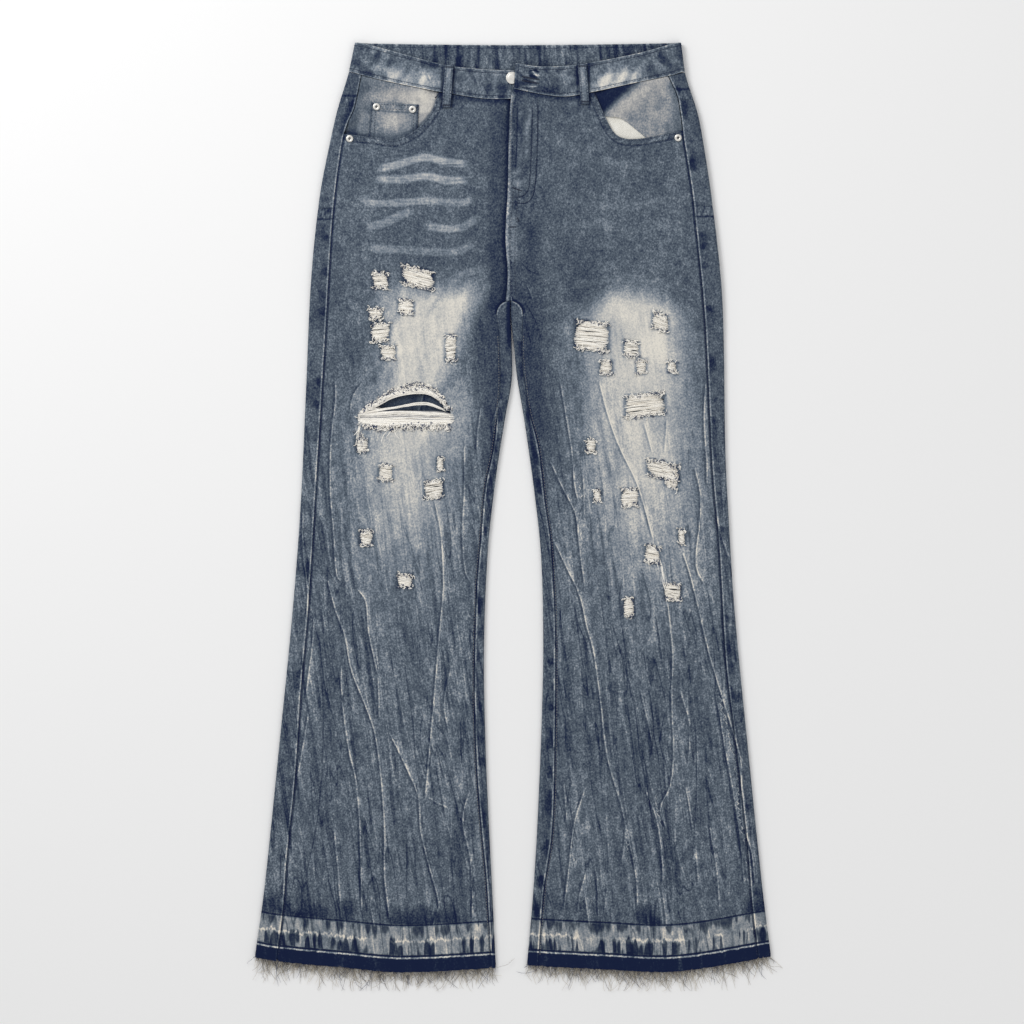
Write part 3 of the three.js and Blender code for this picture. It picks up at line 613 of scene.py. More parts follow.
def back_piece(name, side, rows, columns, cad_piece, welts=()):
    """Builds one back piece from its rows, given as height, end, and y on top and on the ground."""
    built = [turned_row(side, y, end_x, y_top, y_ground, columns) for y, end_x, y_top, y_ground in rows]
    grid, away, under = (np.stack([row[k] for row in built]) for k in range(3))
    x, y = grid[..., 0], grid[..., 1]
    mirrored = np.where(under > 0.5, -x, x)
    other = "left" if side is RIGHT else "right"
    fields, ridge = crease_fields(x, y, CREASES[side["name"]])
    hidden, hidden_ridge = crease_fields(mirrored, y, CREASES[other])
    for key in fields:
        fields[key] = np.where(under[..., None] > 0.5, hidden[key], fields[key])
    ridge = np.where(under > 0.5, hidden_ridge, ridge)
    lift = np.where(under < 0.5, 1, -1) * np.clip(1 - 4 * under * (1 - under), 0, 1)
    grid[..., 2] += np.where(under < 0.5, 0.3 * ridge + 0.25 * lift * ripple(x, y, 30, 45, 2), 0)
    fields["seam"] = away
    fields["bark"] = ramp(y, 190, 40)
    fields["fade"] = back_fade(x, y) * under
    # Under the long slash of the right leg, the back leg's inner face is painted navy as the shadow seen
    # through the opening.
    slash = 0.85 * (np.abs(x + 122) < 60) * (np.abs(y - 122) < 26) * (side is RIGHT)
    fields["navy"] = np.where(under < 0.5, 0.1 + 0.25 * ramp(ripple(x, y, 40, 26, 6), 0, 0.5), slash)
    fields["hem"] = y - side["hem"](x)
    fields["welt"] = triple(9.0, x)
    for line, depth in welts:
        seam_y = line(x, under)
        share = (y - seam_y) / depth
        here = np.abs(share - 0.5) < 1.6
        fields["welt"][here] = triple(share, x, 0.8)[here]
    made = woven(name, grid, DENIM, fields, denim)
    stand_in(made, "denim", cad_piece)
    return made


# The yokes meet in a point at the centre back. Below BENT_FROM the rows bend to the hem's curve.
YOKE_POINT = 428
FELL = 11
BENT_FROM = -420
BACK_COLUMNS = 60
for side in (RIGHT, LEFT):
    name, out = side["name"], side["out"]
    middle = CENTRE_BACK + out * GAP / 2
    widest = side["outer_edge"](side["yoke_seam"]) - CENTRE_BACK

    def yoke_line(x):
        return mix(YOKE_POINT, side["yoke_seam"], np.minimum(1, (x - CENTRE_BACK) / widest))

    def level(y):
        return lambda x: np.full(np.shape(x), float(y))

    rows = []
    for share in np.linspace(0, 1, 22):
        height = mix(side["waist_seam"](side["outer_edge"](507)), side["yoke_seam"], share)
        rows.append((
            height,
            middle,
            lambda x, s=share: mix(side["waist_seam"](x) - GAP, side["yoke_seam"] + GAP / 4, s),
            lambda x, s=share: mix(back_waist_seam(x) - GAP, yoke_line(x) + GAP / 4, s),
        ))
    yoke_fell = (lambda x, under: np.where(under > 0.5, yoke_line(x), side["yoke_seam"]), FELL)
    yoke = back_piece(f"{name}_yoke_cloth", side, rows, BACK_COLUMNS, f"{name}_yoke", [yoke_fell])

    rows = []
    for y in np.linspace(side["yoke_seam"] - GAP / 4, side["seat_seam"] + GAP / 4, 44):
        share = (y - side["seat_seam"]) / (side["yoke_seam"] - side["seat_seam"])
        on_ground = (lambda x, s=share: mix(side["seat_seam"], yoke_line(x), s))
        rows.append((y, middle, level(y), on_ground))
    seat_fell = (lambda x, under: np.full(x.shape, side["seat_seam"] - FELL), FELL)
    seat = back_piece(f"{name}_seat_cloth", side, rows, BACK_COLUMNS, f"{name}_back_seat")

    fold_in = DENIM / 2 + (top_level(0) - ground_level(0)) / 2
    levels = [(y, 0) for y in np.linspace(side["seat_seam"] - GAP / 4, BENT_FROM, 200)]
    levels += [(mix(BENT_FROM, -504, s), s) for s in np.linspace(0, 1, 26)[1:]]
    rows = []
    for y, share in levels:
        end = middle if y > CROTCH_Y + CROTCH_RADIUS - 1 else side["inner_edge"](y) + out * fold_in
        bent = level(y) if share == 0 else (lambda x, s=share: mix(BENT_FROM, side["hem"](x), s))
        rows.append((y, end, bent, bent))
    leg = back_piece(f"{name}_leg_back_cloth", side, rows, BACK_COLUMNS + 2, f"{name}_back_leg", [seat_fell])

    # The leg's inner strip rolls up to the inseam, and over the crotch in an arc.
    grid, away = [], []
    arc_levels = [(y, 0) for y in CROTCH_Y + CROTCH_RADIUS - np.array([0.6, 1.6, 3, 5, 7.5, 11])]
    for y, share in arc_levels + [pair for pair in levels if pair[0] <= CROTCH_Y]:
        radius = (top_level(y) - ground_level(y)) / 2
        centre = side["inner_edge"](y) + out * (DENIM / 2 + radius)
        if y > CROTCH_Y:
            reach = CROTCH_RADIUS - 0.2
            seam_x = CROTCH_X + out * math.sqrt(reach**2 - (y - CROTCH_Y) ** 2)
        else:
            seam_x = side["inseam"](y) - out * GAP / 4
        turn = np.radians(np.linspace(-90, 90, TURN))
        strip = mix(centre, seam_x, np.linspace(0, 1, STRIP)[1:])
        x = np.concatenate([centre - out * radius * np.cos(turn), strip])
        z = (top_level(y) + ground_level(y)) / 2 + radius * np.sin(turn)
        z = np.concatenate([z, np.full(len(strip), top_level(y) - 0.6 * ramp(y, 215, 235))])
        bent_y = np.full(x.shape, y) if share == 0 else mix(BENT_FROM, side["hem"](x), share)
        grid.append(np.stack([x, bent_y, z], axis=1))
        away.append(np.concatenate([np.full(TURN - 1, 99.0), [abs(seam_x - centre)], np.abs(strip - seam_x)]))
    grid, away = np.array(grid), np.array(away)
    x, y = grid[..., 0], grid[..., 1]
    fields, ridge = crease_fields(x, y, CREASES[name])
    to_arc = CROTCH_RADIUS - np.hypot(x - CROTCH_X, y - CROTCH_Y)
    fields["seam"] = np.where(y > CROTCH_Y - 2, np.maximum(to_arc, 0), away + 5 * ramp(y, 90, 150))
    fields["bark"] = ramp(y, 200, 60)
    # A little darker all over, with a painted shadow line down the gap where the two legs meet below the
    # crotch.
    fields["navy"] = 0.2 + 1.6 * np.exp(-(((x - CROTCH_X + 0.8) / 2.6) ** 2)) * ramp(y, 175, 215)
    fields["hem"] = y - side["hem"](x)
    inner = woven(f"{name}_leg_inner_cloth", grid, DENIM, fields, denim)
    stand_in(inner, "denim", f"{name}_back_leg")

# Back pockets: a plain patch of the same twill on each seat, its mouth hemmed, pointed at the bottom,
# felled on round three sides. They lie underneath, against the surface the jeans rest on.
POCKET_WIDTH, POCKET_TAPER, POCKET_TOP, POCKET_LENGTH, POCKET_POINT = 150, 14, 415, 150, 22
POCKET_OUT = 103
UNDERNEATH = 0.62


def cells(rows, columns, left=0):
    """Shares down and across a piece, at each point of a grid."""
    return np.meshgrid(np.linspace(0, 1, rows), np.linspace(left, 1, columns), indexing="ij")


for side in (RIGHT, LEFT):
    down, across = cells(44, 40, -1)
    half = (POCKET_WIDTH - POCKET_TAPER * down) / 2
    x = CENTRE_BACK + side["out"] * POCKET_OUT + half * across
    y = POCKET_TOP - POCKET_LENGTH * down - POCKET_POINT * down * (1 - np.abs(across))
    grid = triple(x, y, UNDERNEATH)
    to_side, to_top = half * (1 - np.abs(across)), POCKET_TOP - y
    to_end = (1 - down) * POCKET_LENGTH
    nearest = np.minimum(np.minimum(to_side, to_end), to_top * 0.45)
    running = np.where(to_side < to_end, y, x)
    fields = {
        "fade": 0.45 * spot(x, y, side["out"] * 105, 350, 50, 60),
        "welt": triple(nearest / 7, running, 0.7),
    }
    patch = woven(f"{side['name']}_back_pocket_cloth", grid, 1.15, fields, denim)
    stand_in(patch, "denim", f"{side['name']}_back_pocket")

# Pocket facings: the denim that shows inside each front pocket mouth, sewn behind it to the bag. The
# left one sags open, so a soft fold runs down into the mouth.
FACINGS = {
    "right": {
        "inner_x": -74, "level": 3.7, "open_from": -92,
        "bottom": curve((-200, 414), (-137, 409), (-111, 418), (-92, 440), (-74, 466)),
    },
    "left": {
        "inner_x": 82, "level": 4.9, "open_from": 99,
        "bottom": curve((82, 456), (110, 455.5), (124, 453), (150, 433), (172, 416), (200, 411)),
    },
}
pale_denim = washed_denim("rubbed pale denim", lift=0.12, warmth=5, speckle=0.7)


def from_fold(x, y):
    """How far a point of the left facing lies beyond the crest of its slanting fold."""
    return ((x - 141) * 31 - (y - 493) * 33) / math.hypot(31, 33)


def facing_points(side, across, down):
    """Points of a facing, by shares from the outseam to its inner edge and from the waist down."""
    facing = FACINGS[side["name"]]
    out = side["out"]
    x = mix(side["outseam"](470) - out * 0.8, facing["inner_x"], across)
    for _ in range(3):
        top = side["waist_seam"](x) - 0.5
        y = mix(top, facing["bottom"](x), down)
        seam_x = side["outseam"](y) - out * 0.8
        x = mix(seam_x, facing["inner_x"], across)
    is_open = ramp((x - facing["open_from"]) * out, 0, 14)
    near_waist = 1 - ramp(top - y, 0, 20)
    near_seam = (1 - ramp(np.abs(x - seam_x), 0, 16)) * ramp(y, 441, 452)
    z = facing["level"] + (top_level(y) - facing["level"]) * is_open * np.maximum(near_waist, near_seam)
    if side is LEFT:
        off = from_fold(x, y)
        crest = np.where(off > 0, 1 - ramp(off, 4, 42), 1 - ramp(-off, 0, 9))
        fold = 1.7 * crest * ramp(y, 446, 470) * ramp(x, 104, 116)
        fold += 0.5 * ripple(x + 0.8 * y, y, 16, 60, 4)
        z = z + fold * (1 - near_waist) * (1 - near_seam)
    else:
        z = z + 0.35 * ripple(x, y, 22, 40, 5) * (1 - near_waist) * (1 - near_seam)
    return triple(x, y, z)


for side in (RIGHT, LEFT):
    name = side["name"]
    down, across = cells(50, 60)
    grid = facing_points(side, across, down)
    x, y = grid[..., 0], grid[..., 1]
    if side is LEFT:
        off = from_fold(x, y)
        # Painted shadow in the hollow below the left facing's fold, and a painted highlight along the fold's
        # lit crest.
        hollow = ramp(-off, -2, 6) * ramp(y, 430, 445)
        fields = {
            "navy": 1.5 * hollow + 0.2 * ramp(x, 174, 186) + 0.3 * ramp(ripple(x, y, 14, 20, 14), 0.1, 0.5),
            "fade": 0.5 * spot(off, y, 9, 468, 9, 60) + 0.28 * ramp(off, 0, 20) * ramp(190 - x, 0, 14)
            + 0.25 * np.maximum(ripple(x, y, 12, 26, 15), 0),
        }
    else:
        # On the right facing, a painted shadow along the line where the pocket mouth's edge overhangs it.
        fields = {
            "navy": 0.4 * ramp(-x, 165, 186) + 0.6 * (1 - ramp(np.abs(y - side["mouth"](x)), 1, 5))
            + 0.3 * ramp(ripple(x, y, 16, 14, 14), 0.1, 0.5),
            "fade": 0.9 * spot(x, y, -98, 458, 24, 30) + 0.6 * spot(x, y, -130, 480, 42, 10)
            + 0.25 * spot(x, y, -171, 456, 6, 16),
        }
    facing = woven(f"{name}_pocket_facing_cloth", grid, DENIM, fields, pale_denim)
    stand_in(facing, "pale_denim", f"{name}_pocket_facing")

# Coin pocket: a small patch topstitched to the right facing, its mouth hemmed, its lower end hidden
# behind the pocket mouth.
down, across = cells(40, 40)
x = mix(mix(-161.5, -166, down), mix(-107, -110, down), across)
y = mix(mix(472.5, 419, down), mix(469.5, 419, down), across)
grid = triple(x, y, 5.0 + 0.25 * ripple(x, y, 18, 30, 8))
from_top = mix(472.5, 469.5, across) - y
from_side = np.minimum(across, 1 - across) * 54
# Navy along the coin pocket's sides, and a painted shadow where the edge of the pocket mouth overhangs it.
fields = {
    "welt": triple(from_top / 9, x, 0.45),
    "navy": 0.5 * (1 - ramp(from_side, 1.0, 3)) + 0.5 * (1 - ramp(np.abs(y - RIGHT["mouth"](x)), 2, 8)),
    "fade": 0.65 * spot(x, y, -134, 452, 19, 13),
}
coin_pocket = woven("coin_pocket_cloth", grid, DENIM, fields, pale_denim)
stand_in(coin_pocket, "pale_denim", "coin_pocket")

# Left pocket bag: plain white cotton, of which a corner shows where the mouth gapes. It hangs flat
# behind the front panel, sewn to the foot of the facing.
pocketing, tree, place = new_material("white pocketing")
weave = Tone(add_node(tree, "ShaderNodeTexChecker", {"Vector": place, "Scale": 1400.0}).outputs["Fac"])
soft = grain(place, 60.0, 3.0, 0.6)
cotton = shaded(soft + 0.12 * weave, (0.3, srgb(228, 225, 214)), (0.75, srgb(252, 250, 243)))
dress(tree, cotton, 0.9, soft + 0.3 * weave, 1.0, 0.0005)

down, across = cells(26, 36)
x, y = 94 + 76 * across + 6 * down, 463 - 46 * down
grid = triple(x, y, 3.5 + 0.3 * ripple(x, y, 12, 16, 9))
bag = woven("left_pocket_bag_cloth", grid, 0.8, {}, pocketing)
stand_in(bag, "pocketing", "left_pocket_bag")


# Front panels: one piece of twill for each leg from the waist seam to the raw hem. The left one laps
# over the right at the fly. Rubbed whiskers, bleached thighs and torn holes are worked in by hand.
FLY_EDGE = curve((515, 3), (483, -1.5), (453, -4), (372, -6), (319, -8.5), (273, -6), (231, -10))
BUTTON_X, BUTTON_Y = -1, 499.5
PANEL_STEP = 3.0
MOUTH_WELT = 7.0
WHISKERS = {
    "right": [
        (1.0, (-159, 398), (-148, 397), (-125, 403), (-101, 409), (-76, 404), (-56, 402), (-48, 404)),
        (0.95, (-160, 384), (-125, 384), (-98, 388), (-76, 383), (-48, 384)),
        (0.75, (-176, 367), (-164, 358), (-125, 358), (-96, 360), (-76, 358), (-55, 358), (-41, 367)),
        (0.8, (-171, 329), (-148, 334), (-133, 341), (-110, 351)),
        (0.85, (-104, 332), (-76, 328), (-60, 329), (-48, 335), (-36, 343)),
        (0.62, (-168, 309), (-155, 305), (-125, 304), (-76, 301), (-58, 304), (-42, 314)),
        (0.5, (-78, 264), (-55, 277), (-31, 284)),
    ],
    "left": [
        (0.14, (60, 402), (100, 406), (150, 398), (176, 402)),
        (0.24, (66, 362), (96, 355), (130, 352), (160, 358), (182, 366)),
        (0.14, (60, 330), (100, 334), (140, 326), (180, 332)),
        (0.22, (60, 262), (96, 268), (130, 272), (170, 268), (196, 258)),
        (0.7, (17, 466), (15, 432), (11, 402)), (0.7, (0, 372), (7, 381), (15, 388)),
        (0.4, (2, 350), (1, 322), (0, 284)),
    ],
}
# Small rips, as middle, width, height and slant. SLASH is the outline of the long one at the knee.
RIPS = {
    "right": [
        (-151, 269, 16, 16, 0), (-108, 272, 35, 20, -0.26), (-122, 239, 17, 14, -0.1), (-156, 231, 14, 11, 0),
        (-151, 210, 20, 19, 0.1), (-142, 187, 16, 13, 0), (-71, 192, 11, 28, 0), (-172, 81, 12, 13, 0),
        (-145, 50, 15, 16, -0.1), (-83, 60, 7, 14, 0), (-90, 31, 21, 18, 0.1), (-167, -24, 13, 16, 0),
        (-123, -73, 16, 13, 0),
    ],
    "left": [
        (90, 206, 38, 31, -0.1), (168, 222, 17, 18, -0.35), (135, 191, 16, 16, -0.1), (106, 170, 13, 14, 0),
        (146, 171, 10, 14, 0), (181, 170, 9, 11, -0.2), (150, 127, 45, 23, 0.1), (89, 80, 10, 14, 0),
        (171, 53, 36, 17, -0.22), (96, 24, 7, 11, 0), (133, 22, 18, 18, 0), (192, -23, 7, 16, -0.3),
        (159, -43, 16, 18, -0.2), (182, -86, 18, 16, -0.1), (132, -103, 11, 19, 0), (180, 42, 14, 16, -0.5),
    ],
}
SLASH = [
    (-171, 108), (-168, 121), (-156, 131), (-138, 139), (-115, 144), (-92, 142), (-76, 132),
    (-71, 118), (-76, 106), (-95, 103), (-120, 101), (-145, 100), (-162, 100),
]


def rip_loop(x, y, width, height, slant, dice):
    """The ragged outline of a small hole."""
    turn = np.arange(20) / 20 * 2 * math.pi
    across, up = np.cos(turn), np.sin(turn)
    across = np.sign(across) * np.abs(across) ** 0.75
    up = np.sign(up) * np.abs(up) ** 0.75
    jitter = dice.uniform(0.84, 1.04, 20)
    across = width / 2 * across * jitter
    return np.stack([x + across, y + height / 2 * up * jitter + slant * across], axis=1)


def inside_loop(x, y, loop):
    """Which points lie inside a closed loop."""
    within = np.zeros(x.shape, bool)
    box = (x > loop[:, 0].min()) & (x < loop[:, 0].max()) & (y > loop[:, 1].min()) & (y < loop[:, 1].max())
    px, py = x[box], y[box]
    odd = np.zeros(px.shape, bool)
    for (ax, ay), (bx, by) in zip(loop, np.roll(loop, -1, axis=0)):
        if ay == by:
            continue
        crosses = (ay > py) != (by > py)
        odd ^= crosses & (px < (bx - ax) * (py - ay) / (by - ay) + ax)
    within[box] = odd
    return within


def spaced(points, step):
    """A path with points at an even step along it, its last point left out."""
    points = np.asarray(points, float)
    run = run_along(points)
    at = np.linspace(0, run[-1], max(2, int(round(run[-1] / step)) + 1))[:-1]
    return np.stack([np.interp(at, run, points[:, k]) for k in (0, 1)], axis=1)


def under_fly(y):
    return mix(4, 12, ramp(y, 262, 300))


def panel_outline(side):
    """The edge of a front panel, all the way round."""
    out = side["out"]
    along = np.linspace(0, 1, 120)
    waist_end = -85 if side is RIGHT else 92.5
    seam_x = side["outseam"](437 if side is LEFT else 436) - out * GAP / 4
    mouth_x = mix(waist_end, seam_x, along**1.4)
    mouth = np.stack([mouth_x, side["mouth"](mouth_x)], axis=1)
    y = np.linspace(mouth[-1, 1], -502, 240)
    outer = np.stack([side["outseam"](y) - out * GAP / 4, y], axis=1)
    hem_x = mix(outer[-1, 0], side["inseam"](-508) + out * GAP / 4, along)
    hem = np.stack([hem_x, side["hem"](hem_x) + 0.8 * ripple(hem_x, 0, 5, 5, 3)], axis=1)
    y = np.linspace(hem[-1, 1], CROTCH_Y, 240)
    inner = np.stack([side["inseam"](y) + out * GAP / 4, y], axis=1)
    turn = np.radians(np.linspace(180, 91, 24) if side is RIGHT else np.linspace(0, 106, 24))
    arc_x = CROTCH_X + (CROTCH_RADIUS + 0.15) * np.cos(turn)
    arc = np.stack([arc_x, CROTCH_Y + (CROTCH_RADIUS + 0.15) * np.sin(turn)], axis=1)
    top = 476 if side is RIGHT else 486.5
    y = np.linspace(247, top, 120)
    edge = FLY_EDGE(y) + (under_fly(y) if side is RIGHT else 0)
    fly = np.stack([edge, y], axis=1)
    waist_x = mix(edge[-1], waist_end, along)
    waist = np.stack([waist_x, side["waist_seam"](waist_x) - 0.4], axis=1)
    parts = [mouth[2:], outer[1:], hem[1:], inner[1:], arc, fly, waist[1:-1]]
    return spaced(np.concatenate(parts + [mouth[2:3]]), 2.0), mouth


def fly_lift(x, y):
    """The left side rides over the right end of the waistband and over the button."""
    over_band = 2.3 * (1 - ramp(x, 34, 60)) * ramp(y, 435, 474)
    return over_band + 2.6 * (1 - ramp(np.hypot(x - BUTTON_X, y - BUTTON_Y), 9, 24))


def cut_cloth(name, outline, holes, step, height, thickness, fields_at, material):
    """A closed wall of cloth of any outline, with holes, from evenly spread points."""

    def in_cloth(points):
        keep = inside_loop(*points.T, outline)
        for hole in holes:
            keep &= ~inside_loop(*points.T, hole)
        return keep

    low, high = outline.min(0), outline.max(0)
    spread = []
    for i, y in enumerate(np.arange(low[1], high[1], step * math.sqrt(3) / 2)):
        x = np.arange(low[0] + (i % 2) * step / 2, high[0], step)
        spread.append(np.stack([x, np.full(len(x), y)], axis=1))
    spread = np.concatenate(spread)
    loops = [outline] + holes
    edge_points = np.concatenate(loops)
    tree = kdtree.KDTree(len(edge_points))
    for i, (px, py) in enumerate(edge_points):
        tree.insert((px, py, 0), i)
    tree.balance()
    spread = spread[in_cloth(spread)]
    clear = [tree.find((px, py, 0))[2] > 0.62 * step for px, py in spread]
    spread = spread[np.array(clear)]
    points = np.concatenate([edge_points, spread])
    edges, first = [], 0
    for loop in loops:
        ids = np.arange(first, first + len(loop))
        edges += list(zip(ids.tolist(), np.roll(ids, -1).tolist()))
        first += len(loop)
    made = geometry.delaunay_2d_cdt([Vector(p) for p in points], edges, [], 0, 1e-5, False)
    points = np.array([tuple(v) for v in made[0]])
    triangles = np.array(made[2])
    middles = points[triangles].mean(1)
    triangles = triangles[in_cloth(middles)]
    used = np.unique(triangles)
    renumber = np.zeros(len(points), int)
    renumber[used] = np.arange(len(used))
    points, triangles = points[used], renumber[triangles]
    a, b, c = (points[triangles[:, k]] for k in range(3))
    turned = (b[:, 0] - a[:, 0]) * (c[:, 1] - a[:, 1]) < (b[:, 1] - a[:, 1]) * (c[:, 0] - a[:, 0])
    triangles[turned] = triangles[turned][:, ::-1]
    x, y = points.T
    fields, z = fields_at(x, y), height(x, y)
    sides = np.concatenate([triangles[:, [0, 1]], triangles[:, [1, 2]], triangles[:, [2, 0]]])
    code = sides[:, 0] * len(points) + sides[:, 1]
    lone = sides[~np.isin(code, sides[:, 1] * len(points) + sides[:, 0])]
    half = np.full(len(points), thickness / 2)
    half[np.unique(lone)] *= RIM
    top = np.stack([x, y, z + half], axis=1)
    bottom = np.stack([x, y, z - half], axis=1)
    count = len(points)
    walls = np.stack([lone[:, 1], lone[:, 0], lone[:, 0] + count, lone[:, 1] + count], axis=1)
    faces = triangles.tolist() + (triangles[:, ::-1] + count).tolist() + walls.tolist()
    return make_object(name, np.concatenate([top, bottom]), faces, both_layers(fields), material)


def front_fade(side, x, y):
    """The bleached thighs and knees."""
    cloudy = 1 + 0.16 * ripple(x, y, 15, 26, 28)
    if side is RIGHT:
        right_edge = -56 + 0.42 * (y - 200)
        thigh = 1.05 * ramp(x, -182, -114) * (1 - ramp(x - right_edge, -26, 16)) * (1 - ramp(y, 238, 284))
        thigh *= ramp(y, 80, 140) * (1 + 0.3 * ripple(x - y * 0.62, x * 0.62 + y, 9, 90, 27))
        knee = curve(
            (170, 0), (130, 0.7), (100, 1.04), (40, 1.0), (0, 0.82), (-50, 0.52), (-110, 0.18), (-150, 0),
        )
        away = np.abs(x + 121 - 0.06 * (y - 60))
        below = 0.84 * knee(y) * np.exp(-((away / 62) ** 2.6))
        pale = np.maximum(thigh, below) + 0.15 * thigh * below
        return pale * cloudy + 0.25 * spot(x, y, -62, 130, 22, 50)
    top = 270 - ((x - 134) / 62) ** 2 * 20
    away = np.abs(x - 134 - 0.07 * (247 - y))
    fall = curve(
        (280, 1.22), (235, 1.18), (190, 1.07), (120, 0.92), (50, 0.81), (-30, 0.55), (-90, 0.24), (-150, 0),
    )
    return np.exp(-((away / 65) ** 2.6)) * (1 - ramp(y, top - 38, top + 8)) * fall(y) * cloudy


# Sunken stitch lines and small folds about the fly and the crotch, given like the creases.
FLY_LINES = {
    "left": [
        (-1.1, (28.5, 472), (28.5, 458), (27.4, 409), (25, 375), (21, 362), (14, 357), (-3.4, 357.6)),
        (-0.9, (22, 472), (22, 455), (20.6, 409), (18.6, 378), (15, 368), (8, 364), (-3.4, 364)),
        (-0.25, (42, 452), (42.5, 420), (41, 383)),
        (0.7, (14, 268), (20, 256), (24, 244)), (-0.6, (8, 240), (16, 214), (22, 190)),
        (-0.6, (14, 244), (26, 222), (34, 196)), (-0.6, (8, 291), (20, 279), (42, 275)),
        (-0.4, (78, 300), (100, 303), (124, 301)), (-0.7, (3, 376), (9, 374), (15, 375)),
        (-0.5, (3, 366), (4, 350), (2, 336)), (-1.0, (5, 470), (4.5, 430), (3, 392)),
    ],
    "right": [],
}

for side in (RIGHT, LEFT):
    name = side["name"]
    dice = np.random.default_rng(11 if side is RIGHT else 12)
    outline, mouth = panel_outline(side)
    holes = [rip_loop(*rip, dice) for rip in RIPS[name]]
    if side is RIGHT:
        slash = spaced(SLASH + SLASH[:1], 2.0)
        holes.append(slash + dice.uniform(-0.7, 0.7, slash.shape))
    lines = CREASES[name] + FLY_LINES[name]
    mouth_line = [(1.0, *[tuple(p) for p in mouth[::6]])]

    def panel_fields(x, y):
        fields, _ = crease_fields(x, y, lines)
        away, strength = nearest_line(x, y, WHISKERS[name], 20, 12)
        fields["whisker"] = triple(np.abs(away), strength)
        to_inseam = np.abs(x - side["inseam"](y))
        to_arc = np.abs(np.hypot(x - CROTCH_X, y - CROTCH_Y) - CROTCH_RADIUS)
        to_seam = np.minimum(np.abs(x - side["outseam"](y)), np.where(y < CROTCH_Y, to_inseam, 99))
        to_seam = np.where(y > CROTCH_Y, np.minimum(to_seam, to_arc), to_seam)
        soft = 5 * ramp(y, 90, 150) * (to_inseam < 12) * (y < CROTCH_Y)
        fields["seam"] = -to_seam - soft - 0.05
        fly = (x - FLY_EDGE(y)) * (1 if side is LEFT else -1)
        at_fly = (y > 240) & (fly < 6) & (np.abs(x) < 40)
        if side is LEFT:
            fields["seam"] = np.where(at_fly, 0.25 + fly / 2.2, fields["seam"])
        fields["fade"] = np.clip(front_fade(side, x, y), 0, 1)
        fly_shade = 0.85 * (1 - ramp(np.abs(fly), 1.5, 5))
        fly_shade += (0.25 + 0.3 * ramp(y, 430, 270)) * (1 - ramp(np.abs(fly), 15, 24))
        crumple = 0.42 * ramp(ripple(x - 0.15 * y, y, 4.5, 20, 25), 0.0, 0.35)
        crumple = crumple * (1 - ramp(x, 18, 44)) * ramp(y, 300, 370)
        crumple = crumple + 0.35 * spot(x, y, 8, 262, 26, 40) + 0.45 * spot(x, y, 22, 312, 9, 34)
        shade = (fly_shade if side is RIGHT else crumple) * (y > 236)
        # Painted shadow just below the waist seam and beside the foot of each front belt loop.
        painted_shade_below_band_and_loops = 0.8 * (1 - ramp(side["waist_seam"](x) - y, 1, 8))
        from_loop = np.abs(x - (81 if side is LEFT else -75))
        painted_shade_below_band_and_loops += 0.9 * np.exp(-(((from_loop - 6) / 1.4) ** 2)) * ramp(y, 463, 468)
        # Painted shade near the inseam at the top of the thigh, and a dark rim round each rip, partly the
        # navy of the cut warp ends and partly painted shadow.
        inner = 0.55 * (1 - ramp(to_inseam, 4, 40)) * ramp(y, 20, 120) * (1 - ramp(y, 226, 262))
        for rx, ry, width, height, slant in RIPS[name]:
            rise = np.abs(y - ry - slant * (x - rx))
            off = np.hypot(np.maximum(np.abs(x - rx) - width / 2, 0), np.maximum(rise - height / 2, 0))
            inner = inner + 0.9 * np.exp(-((off / 2.0) ** 2))
        fields["navy"] = shade + painted_shade_below_band_and_loops + inner + 0.15 * ramp(ripple(x, y, 60, 80, 13), 0.1, 0.6)
        fields["bark"] = ramp(y, 150, -30) + 0.35 * ramp(y, 280, 200) * (1 - ramp(y, 150, -30))
        fields["hem"] = y - side["hem"](x)
        away, _ = nearest_line(x, y, mouth_line, 30, 1)
        run = np.hypot(x - mouth[0, 0], y - mouth[0, 1])
        fields["welt"] = triple(np.abs(away) / MOUTH_WELT, run, 0.62)
        return fields

    def panel_height(x, y):
        z = top_level(y) + 0.7 * ripple(x, y, 70, 150, 1)
        _, ridge = crease_fields(x, y, lines)
        away, strength = nearest_line(x, y, WHISKERS[name], 20, 22)
        bark = ramp(y, 190, -30)
        folds = 1 - 2 * np.abs(ripple(x + 0.14 * y, y, 20, 120, 17))
        z = z + 0.35 * ridge + 0.5 * strength * np.exp(-((away / 5) ** 2)) + 0.55 * bark * folds
        to_seam = np.abs(x - side["outseam"](y))
        to_seam = np.where(y < CROTCH_Y, np.minimum(to_seam, np.abs(x - side["inseam"](y))), to_seam)
        z = z - 0.5 * np.exp(-to_seam / 1.6)
        z = mix(top_level(y), z, ramp(to_seam, 0, 10))
        z = z - 0.5 * np.exp(-to_seam / 1.4)
        if side is RIGHT:
            edge = FLY_EDGE(y)
            return z - 2 * ramp(x, edge - 9, edge - 1) * (y > 240)
        return z + fly_lift(x, y) + 0.3 * np.exp(-(x - FLY_EDGE(y)) / 3) * (y > 240)

    panel = cut_cloth(f"{name}_front_panel_cloth", outline, holes, PANEL_STEP, panel_height, DENIM,
                      panel_fields, denim)
    stand_in(panel, "denim", f"{name}_front_panel")


